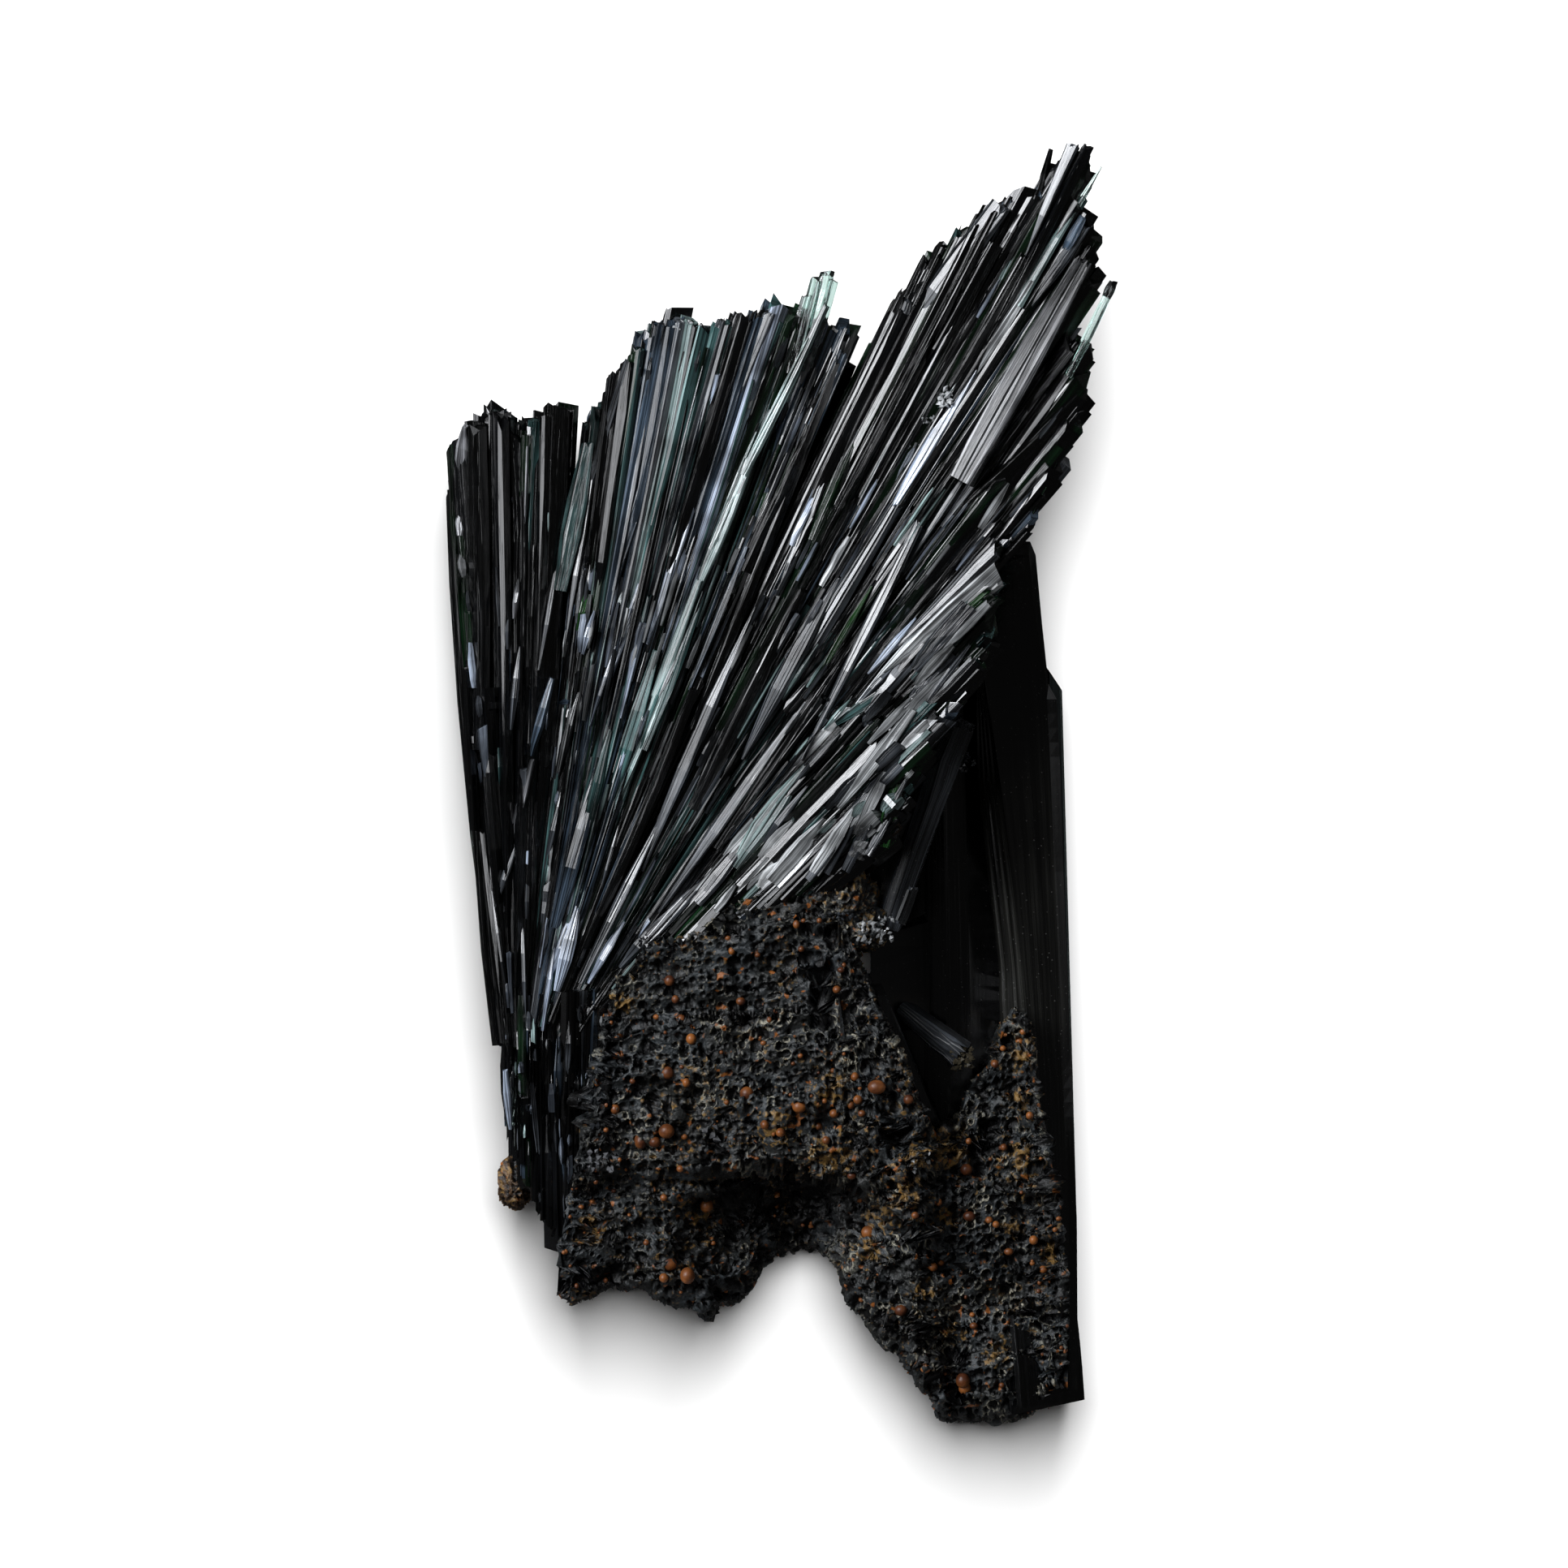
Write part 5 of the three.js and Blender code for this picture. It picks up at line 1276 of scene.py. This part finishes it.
rockShape = {
    "crest": 23.6,
    "columns": 500, "frontRows": 324, "footRows": 24, "backRows": 16, "headRows": 26,
    "pace": 0.22,            # how much closer columns lie where the head line is steep
    "terraces": ((4.3, 0.8, 0.3), (1.9, 0.22, 0.8)),     # spacing, rise, unevenness
    # spacing, radius as a share of it, depth, rim height, share that are there
    "pits": (
        (3.1, 0.34, 0.60, 0.05, 0.35), (1.5, 0.44, 0.60, 0.10, 0.62), (0.85, 0.46, 0.46, 0.11, 0.92),
    ),
    "rimWidth": 0.075,
    "crags": ((3.6, 0.60), (1.7, 0.24), (0.8, 0.06)),  # size and height
    "slope": (0.08, 0.05),         # rise of the front along x and along y
    "rightDrop": 4.2,
    "ledgeDrop": ((-22, -11, -5, 6, 24), (1.6, 2.4, 6.0, 6.4, 1.6)),     # x, and how far the rock drops there
    "bay": ((1, -44), (7, 4), 7.0),      # centre, half widths and depth of the hollow above the bay
    "lumps": ((3.1, 0.9), (1.5, 0.5)),   # size and height
    "footDrop": 3.0,
    "backHeight": 2.6,             # height of the lower edge of the foot wall
    "backRound": (3.2, 0.9, 0.5),  # height of the back at its edge, its fall inwards, and its lumps
    "lineSteps": 4000,
    "margin": 0.3,                 # how far the rock may pass its solid's box
    "hollowShadeAt": (0.10, 0.36),      # depths of the pits where the painted shade starts and is full
    "crestAt": (0.22, 0.46),       # heights of the crags where the pale crests start and are full
}
deepPits = [
    # x, y, half width, half height, depth
    (4.1, -20.7, 1, 2.7, 8), (11.8, -35.1, 1.5, 1.4, 5), (20.8, -34.4, .7, .9, 4), (19.6, -36.6, .6, 1.4, 3),
    (-20, -30.6, .8, 2.6, 4), (-16.8, -26.8, .8, .8, 1.2), (-8, -27, .5, .5, 1.2), (14, -45, 2, .8, 1.6),
    (8.6, -47.6, 1, 1, 1.5), (10.6, -49.4, 1.3, 1.1, 1.3), (-20.4, -48.6, 1.3, 1.2, 1.3),
]
ochreSpots = [
    # x, y, radius
    (17.4, -36.4, 2.6), (13.2, -37.2, 2), (24, -27, 1.7), (12.2, -40, 2.6), (23.8, -37.2, 1.7),
    (23.6, -44.2, 1.4), (8.6, -46.6, 1.4), (-8, -43.6, 1.8), (-16, -21.6, 1.3), (24.4, -31.4, 1.4),
    (17.6, -55, 1.3), (14.4, -50.4, 1.3), (21.6, -57, 1.4), (27, -46.6, 1.2), (4.6, -37.4, 2.2),
    (-19.6, -44.6, 1.4), (5, -30.4, 1.6), (-.4, -34, 1.6), (10, -43, 1.6), (16.4, -43.4, 1.2),
]


def lineAt(line, x):
    # y of a line at x
    line = np.array(line)
    return np.interp(x, line[:, 0], line[:, 1])


def rockFront(x, y, foot):
    # a slope with terraces and a ledge, a hollow above the bay in the foot, lumps, and a rounded foot
    slopeX, slopeY = rockShape["slope"]
    height = rockShape["crest"] + slopeX * np.minimum(x, 8) + slopeY * (y + 12)
    height = height - rockShape["rightDrop"] * smoothStep(13, 18.5, x)
    for spacing, rise, uneven in rockShape["terraces"]:
        row = (y - 0.14 * x + 1.1 * lumps(x / 9, y / 9) + uneven * lumps(x / 2.1 + 30, y / 2.6)) / spacing
        height = height + rise * (smoothStep(0, 0.8, row - np.floor(row)) - 0.5)
    belowLedge = lineAt(ledgeLine, x) - y
    height = height - np.interp(x, *rockShape["ledgeDrop"]) * smoothStep(-0.4, 1.6, belowLedge)
    (bayX, bayY), (halfX, halfY), depth = rockShape["bay"]
    height = height - depth * np.exp(-(((x - bayX) / halfX) ** 2) - ((y - bayY) / halfY) ** 2)
    for k, (size, rise) in enumerate(rockShape["lumps"]):
        height = height + rise * lumps(x / size + 40 * k, y / size)
    return height - rockShape["footDrop"] * (1 - smoothStep(-0.6, 2.6, y - foot))


cellJitter = (0.2, 0.8)      # where a point may lie in its square


def nearestCell(x, v, size):
    # distance, in cells, to the nearest of one random point in each square of a grid, and its random number
    cellX, cellV = np.floor(x / size), np.floor(v / size)
    nearest, chance = np.full(x.shape, 9.0), np.zeros(x.shape)
    for i, j in np.ndindex(3, 3):
        cornerX, cornerV = cellX + i - 1, cellV + j - 1
        waves = [cornerX * a + cornerV * b for a, b in ((127.1, 311.7), (269.5, 183.3), (113.5, 271.9))]
        shiftX, shiftV, drawn = (np.sin(w) * 43758.5453 - np.floor(np.sin(w) * 43758.5453) for w in waves)
        shiftX, shiftV = mix(*cellJitter, shiftX), mix(*cellJitter, shiftV)
        away = np.hypot(x / size - cornerX - shiftX, v / size - cornerV - shiftV)
        chance = np.where(away < nearest, drawn, chance)
        nearest = np.minimum(nearest, away)
    return nearest, chance


def pitPush(x, v, shape):
    # round bowls of several sizes, each with a thin raised rim on its edge
    push, rims = np.zeros(x.shape), np.zeros(x.shape)
    for size, radius, depth, rimHeight, share in shape["pits"]:
        nearest, chance = nearestCell(x + 37 * size, v + 19 * size, size)
        edge = radius * (0.62 + 0.38 * (chance * 7.7 % 1))
        bowl = np.sqrt(np.clip(1 - (nearest / edge) ** 2, 0, 1)) * (chance < share)
        rim = np.exp(-(((nearest - edge) * size / shape["rimWidth"]) ** 2)) * (chance < share)
        push += rimHeight * rim - depth * bowl
        rims = np.maximum(rims, rim * (chance * 5.3 % 1))
    return push, rims


def crags(x, y, z, shape):
    # smooth noise of several sizes, each turned by a different angle
    push = np.zeros(x.shape)
    for k, (size, rise) in enumerate(shape["crags"]):
        c, s = np.cos(0.6 + k), np.sin(0.6 + k)
        push += rise * lumps((x * c - y * s + 2.3 * z) / size, (x * s + y * c) / size + 70)
    return push


def rockGrid(shape):
    # Each column at x is a ring: front from head to foot, foot wall, back from foot to head, head wall.
    first, last = rockHead[0][0], rockHead[-1][0]
    line = np.linspace(first, last, shape["lineSteps"])
    pace = np.cumsum(1 + shape["pace"] * np.abs(np.gradient(lineAt(rockHead, line), line)))
    x = np.interp(np.linspace(pace[0], pace[-1], shape["columns"]), pace, line)[:, None]
    head, foot = lineAt(rockHead, x), lineAt(rockFoot, x)
    share = np.linspace(0, 1, shape["frontRows"])[None]
    y = mix(head, foot, share)
    front = rockFront(x + 0 * y, y, foot)
    t = np.linspace(0, 1, shape["footRows"] + 2)[None, 1:-1]
    footY = foot - 0.5 * np.sin(np.pi * t) + 0.35 * lumps(x / 0.9, 6 * t)
    footZ = mix(front[:, -1:], shape["backHeight"], t)
    t = np.linspace(0, 1, shape["backRows"])[None]
    backY = mix(foot, head, t)
    inset = np.minimum(np.minimum(head - backY, backY - foot), np.minimum(x - first, last - x))
    edgeZ, fall, rough = shape["backRound"]
    backZ = np.maximum(0, edgeZ - fall * inset + rough * lumps(x / 2.3 + 0 * backY, backY / 2.3))
    t = np.linspace(0, 1, shape["headRows"] + 2)[None, 1:-1]
    headY = head + 0 * t
    headZ = mix(backZ[:, -1:], front[:, :1], t)
    ys = np.concatenate([y, footY, backY, headY], 1)
    zs = np.concatenate([front, footZ, backZ, headZ], 1)
    # a second coordinate on the surface: y on the front and the back, and height on the walls
    spread = np.concatenate([y, foot + footZ - front[:, -1:], backY + 500, head + front[:, :1] - headZ], 1)
    return np.stack([x + 0 * ys, ys, zs], -1), spread


def gridNormals(grid):
    # cross product of the steps to the neighbouring columns and to the neighbouring rows
    alongRows = np.roll(grid, -1, 1) - np.roll(grid, 1, 1)
    alongColumns = np.gradient(grid, axis=0)
    return unit(np.cross(alongRows, alongColumns) + 1e-9)


def makeRock(shape):
    # each point of the grid is pushed along its normal by pits, crags and deep hollows
    grid, spread = rockGrid(shape)
    normals = gridNormals(grid).reshape(-1, 3)
    flat = grid.reshape(-1, 3)
    x, y = flat[:, 0], flat[:, 1]
    push, rims = pitPush(x, spread.ravel(), shape)
    # painted shade: the deeper a pit, the darker its colour
    hollowShade = smoothStep(*shape["hollowShadeAt"], -push)
    push = push + crags(x, y, flat[:, 2], shape)
    crest = np.maximum(rims, 0.30 * smoothStep(*shape["crestAt"], push))
    isFront = normals[:, 2] > 0
    for px, py, rx, ry, deep in deepPits:
        inside = np.exp(-((np.abs((x - px) / rx)) ** 3 + (np.abs((y - py) / ry)) ** 3))
        push = push - np.where(isFront, deep * inside, 0) * 0.5
        # painted shade inside the deep pits
        hollowShade = np.maximum(hollowShade, smoothStep(0.25, 0.7, inside) * min(1.0, deep / 3))
    # painted shade: the recess above the bay is painted almost black
    caveShade = np.exp(-(((x - 0.5) / 8) ** 2) - ((y + 42.6) / 3.6) ** 2)
    hollowShade = np.maximum(hollowShade, 0.97 * smoothStep(0.2, 0.8, caveShade + 0.25 * lumps(x / 1.2, y / 1.2)))
    stain = np.zeros(len(flat))
    for px, py, radius in ochreSpots:
        stain = np.maximum(stain, np.exp(-((x - px) ** 2 + (y - py) ** 2) / radius ** 2))
    points = flat + normals * push[:, None]
    low, high = np.array(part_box("matrix_rock")) / mm
    points = np.clip(points, low - shape["margin"], high + shape["margin"])
    points[:, 2] = np.maximum(points[:, 2], 0)
    dimmed = 1 - 0.45 * smoothStep(6, -8, x) * smoothStep(-39, -44, y)
    patchy = (0.55 + 0.6 * lumps(x / 3.3 + 11, y / 2.4)) * dimmed
    fields = {
        "crest": np.clip(crest * (1 - hollowShade) * patchy, 0, 1),
        "hollowShade": hollowShade,
        "stain": np.clip(0.34 * stain + 0.73 + 0.10 * lumps(x / 4 + 3, y / 4), 0, 1.10),
    }
    # the grid is cut in two along its middle column, and each half is closed at both ends
    columns, rows = grid.shape[:2]
    cut = columns // 2
    for name, first, last in (("pittedRockLeft", 0, cut), ("pittedRockRight", cut, columns - 1)):
        count = last - first + 1
        c, r = np.meshgrid(np.arange(count - 1), np.arange(rows), indexing="ij")
        a, b = c * rows + r, c * rows + (r + 1) % rows
        quads = np.stack([a, b, b + rows, a + rows], -1).reshape(-1, 4)
        ends = [np.arange(rows)[::-1].tolist(), (np.arange(rows) + (count - 1) * rows).tolist()]
        part = slice(first * rows, (last + 1) * rows)
        makePiece(
            name, points[part], quads.tolist() + ends, materials["rock"], ("matrix_rock",),
            fields={key: values[part] for key, values in fields.items()}, smooth=True, flatEnds=2,
        )
    return points.reshape(grid.shape)[:, : shape["frontRows"]].reshape(-1, 3)


rockSurface = makeRock(rockShape)
print("stage: rock")


# orange balls and small bright crystals

ballRows = [
    # x, y, radius
    (1.4, -13.6, .4), (1.9, -16.1, .4), (-5.5, -15, .3), (-5.1, -16.3, .4), (-11.4, -19.3, .5),
    (-10.8, -21.2, .4), (-12.7, -23, .35), (-10.2, -23.2, .5), (-9.2, -25.2, .55), (-11.6, -28.6, .6),
    (-9.7, -29.6, .45), (-4.2, -21.4, .45), (5.9, -18.2, .35), (6.7, -18.5, .35), (5.5, -20.2, .5),
    (-3.6, -30.7, .75), (1.7, -32, .65), (5.2, -32.7, .5), (9.5, -30, .85), (-11.7, -34.5, .75),
    (-12.9, -35.6, .65), (-14.3, -35.5, .8), (-9.9, -35.1, .3), (-1.8, -33.8, .5), (3.6, -34, .4),
    (7.6, -31.3, .45), (8, -32.7, .4), (-7.7, -42.2, .8), (-12, -41.3, .35), (-.6, -41.2, .4),
    (-11.5, -48, .8), (-9.6, -49.2, .9), (-12, -49.4, .5), (8.7, -45, .65), (-16.9, -32.3, .5),
    (7, -39, .45), (12.7, -31.3, .5), (14.8, -35, .85), (21.5, -27.8, .55), (24.3, -24.5, .35),
    (24, -25.5, .4), (22.3, -26.2, .35), (25, -33, .4), (18.6, -38.5, .6), (15.7, -41.7, .45),
    (18.9, -43.2, .6), (15.2, -48.4, .55), (16, -48, .4), (12, -52.8, .65), (15.4, -53.8, .5),
    (14.5, -58.7, .5), (18.3, -60, .75), (18.5, -60.8, .65), (22.9, -46.8, .45), (14.4, -57.2, .4),
    (-16.8, -26.8, .6), (7.3, -29, .5), (6.9, -31.8, .5), (-.2, -34.6, .45), (4.4, -35.4, .4),
    (-10.3, -38.3, .4), (22.4, -36.2, .4), (20.9, -43.6, .4), (21.6, -44, .35), (25.4, -45.6, .5),
    (26.4, -48.6, .4), (19.4, -54.4, .4), (13.4, -43, .35),
]
smallBalls = {"count": 130, "radius": (0.13, 0.30), "seed": 8}
ballLook = {"splits": 2, "squash": (0.82, 1.12), "raised": 0.3}     # raised by a share of the radius


def ballMesh(splits):
    # an octahedron whose faces are split in four, with its points pushed out to a radius of 1
    points = np.array([(0, 0, 1), (1, 0, 0), (0, 1, 0), (-1, 0, 0), (0, -1, 0), (0, 0, -1)], float)
    faces = np.array([(0, 1, 2), (0, 2, 3), (0, 3, 4), (0, 4, 1), (5, 2, 1), (5, 3, 2), (5, 4, 3), (5, 1, 4)])
    for _ in range(splits):
        a, b, c = points[faces[:, 0]], points[faces[:, 1]], points[faces[:, 2]]
        ab, bc, ca = unit(a + b), unit(b + c), unit(c + a)
        parts = [(a, ab, ca), (ab, b, bc), (ca, bc, c), (ab, bc, ca)]
        corners = np.concatenate([np.stack(p, 1) for p in parts]).reshape(-1, 3)
        points, back = np.unique(np.round(corners, 6), axis=0, return_inverse=True)
        faces = back.reshape(-1, 3)
    return points, faces


def makeBalls(rows, small, surface):
    # each ball is a squashed sphere whose middle lies a third of its radius above the rock's nearest point
    rng = np.random.default_rng(small["seed"])
    at = surface[rng.integers(0, len(surface), small["count"]), :2]
    tiny = np.concatenate([at, rng.uniform(*small["radius"], (small["count"], 1))], 1)
    rows = np.concatenate([np.array(rows), tiny])
    gap = ((surface[None, :, :2] - rows[:, None, :2]) ** 2).sum(-1)
    nearest = surface[gap.argmin(1)]
    ball, faces = ballMesh(ballLook["splits"])
    squash = rng.uniform(*ballLook["squash"], (len(rows), 1, 3))
    centres = np.concatenate([rows[:, :2], (nearest[:, 2] + ballLook["raised"] * rows[:, 2])[:, None]], 1)
    points = centres[:, None] + ball[None] * rows[:, 2][:, None, None] * squash
    starts = (np.arange(len(rows)) * len(ball))[:, None, None]
    allFaces = (faces[None] + starts).reshape(-1, 3)
    makePiece(
        "orangeBalls", points.reshape(-1, 3), allFaces.tolist(), materials["spherule"],
        smooth=True,
    )


makeBalls(ballRows, smallBalls, rockSurface)


lumpLook = {"splits": 5, "squareness": 0.9, "share": 0.46, "pits": 0.8, "inset": 0.3, "stain": 0.85}


def makeLump(name, low, high, material, nodes=()):
    # a rough ball squeezed into a box, pushed in by lumps and pits
    low, high = np.array(low), np.array(high)
    ball, faces = ballMesh(lumpLook["splits"])
    spread = (high - low) * lumpLook["share"]
    points = (low + high) / 2 + np.sign(ball) * np.abs(ball) ** lumpLook["squareness"] * spread
    x, y, z = points.T
    pushed, rims = pitPush(x, y + z, rockShape)
    rough = crags(x, y, z, rockShape) + lumpLook["pits"] * pushed - lumpLook["inset"]
    points = np.clip(points + ball * rough[:, None], low, high)
    # painted shade in the pits of the lump
    hollowShade = smoothStep(*rockShape["hollowShadeAt"], -pushed)
    stain = np.full(len(points), lumpLook["stain"])
    fields = {"crest": rims * (1 - hollowShade), "hollowShade": hollowShade, "stain": stain}
    makePiece(name, points, faces.tolist(), material, nodes, fields=fields, smooth=True)


crustLow, crustHigh = np.array(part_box("brown_crust")) / mm
makeLump("rustyCrust", crustLow, crustHigh, materials["crust"], ("brown_crust",))
makeLump("rockNub", (4.6, -16.8, 16.0), (11.4, -11.4, 24.0), materials["rock"])
makeLump("rockShoulder", (2.2, -15.0, 14.0), (9.8, -7.0, 25.4), materials["rock"])

chipGroups = [
    # x, y, height or None for the rock, half spread in x and y, count, size, tint
    (16.2, 39.4, 27.6, .7, .9, 16, .42, "white"), (14.6, 37.2, 27.2, .7, 1, 14, .24, "white"),
    (13.2, 34.8, 26.8, .6, 1.2, 10, .18, "white"), (9.2, -14.2, 22.9, 1.9, 1.3, 50, .3, "white"),
    (5.6, -12.4, None, 1.8, .9, 24, .3, "steel"), (-18, -37.6, 21.3, 1.5, 1.3, 26, .42, "steelHighlight"),
    (-7.4, -34.6, None, .7, 1, 7, .5, "steelHighlight"), (-10, 46.6, 25.6, .9, .5, 16, .28, "white"),
    (18.2, -27.3, 14.6, 1.1, 1.1, 50, .32, "sand"), (14.2, -37.6, None, 1.4, 1, 8, .3, "white"),
    (2.6, -10.2, None, 2.6, .6, 14, .24, "steel"), (-12, -15.6, None, 2.4, .8, 18, .3, "steel"),
    (18.4, 2.6, 17, 1, 1.4, 20, .34, "steel"), (-18.6, -31, None, 1.2, 3, 20, .4, "steel"),
]


chipLook = {"seed": 21, "heights": (-0.3, 0.2), "sizes": (0.4, 1.2), "shades": (0.5, 1.2), "gloss": 0.16}


def makeChips(groups, surface):
    # small octahedra, each stretched and turned at random
    rng = np.random.default_rng(chipLook["seed"])
    ball, faces = ballMesh(0)
    points, allFaces, tint, total = [], [], [], 0
    for x, y, height, spreadX, spreadY, count, size, tintName in groups:
        at = np.array([x, y]) + rng.uniform(-1, 1, (count, 2)) * np.array([spreadX, spreadY])
        if height is None:
            gap = ((surface[None, :, :2] - at[:, None]) ** 2).sum(-1)
            z = surface[gap.argmin(1)][:, 2]
        else:
            z = height + rng.uniform(*chipLook["heights"], count)
        turn = np.linalg.qr(rng.normal(size=(count, 3, 3)))[0]
        turn = turn * np.sign(np.linalg.det(turn))[:, None, None]
        scale = size * rng.uniform(*chipLook["sizes"], (count, 1, 3))
        shape = (ball[None] * scale) @ turn
        points.append((shape + np.concatenate([at, z[:, None]], 1)[:, None]).reshape(-1, 3))
        starts = (total + np.arange(count) * len(ball))[:, None, None]
        allFaces.append((faces[None] + starts).reshape(-1, 3))
        shade = rng.uniform(*chipLook["shades"])
        tint.append(np.tile((*tints[tintName], 1.0), (count * len(ball), 1)) * shade)
        total += count * len(ball)
    points, tint = np.concatenate(points), np.concatenate(tint)
    makePiece(
        "smallCrystals", points, np.concatenate(allFaces).tolist(), materials["vivianite"],
        fields={"tint": tint, "gloss": np.full(len(points), chipLook["gloss"])},
    )


makeChips(chipGroups, rockSurface)
print("stage: orange balls and small crystals")
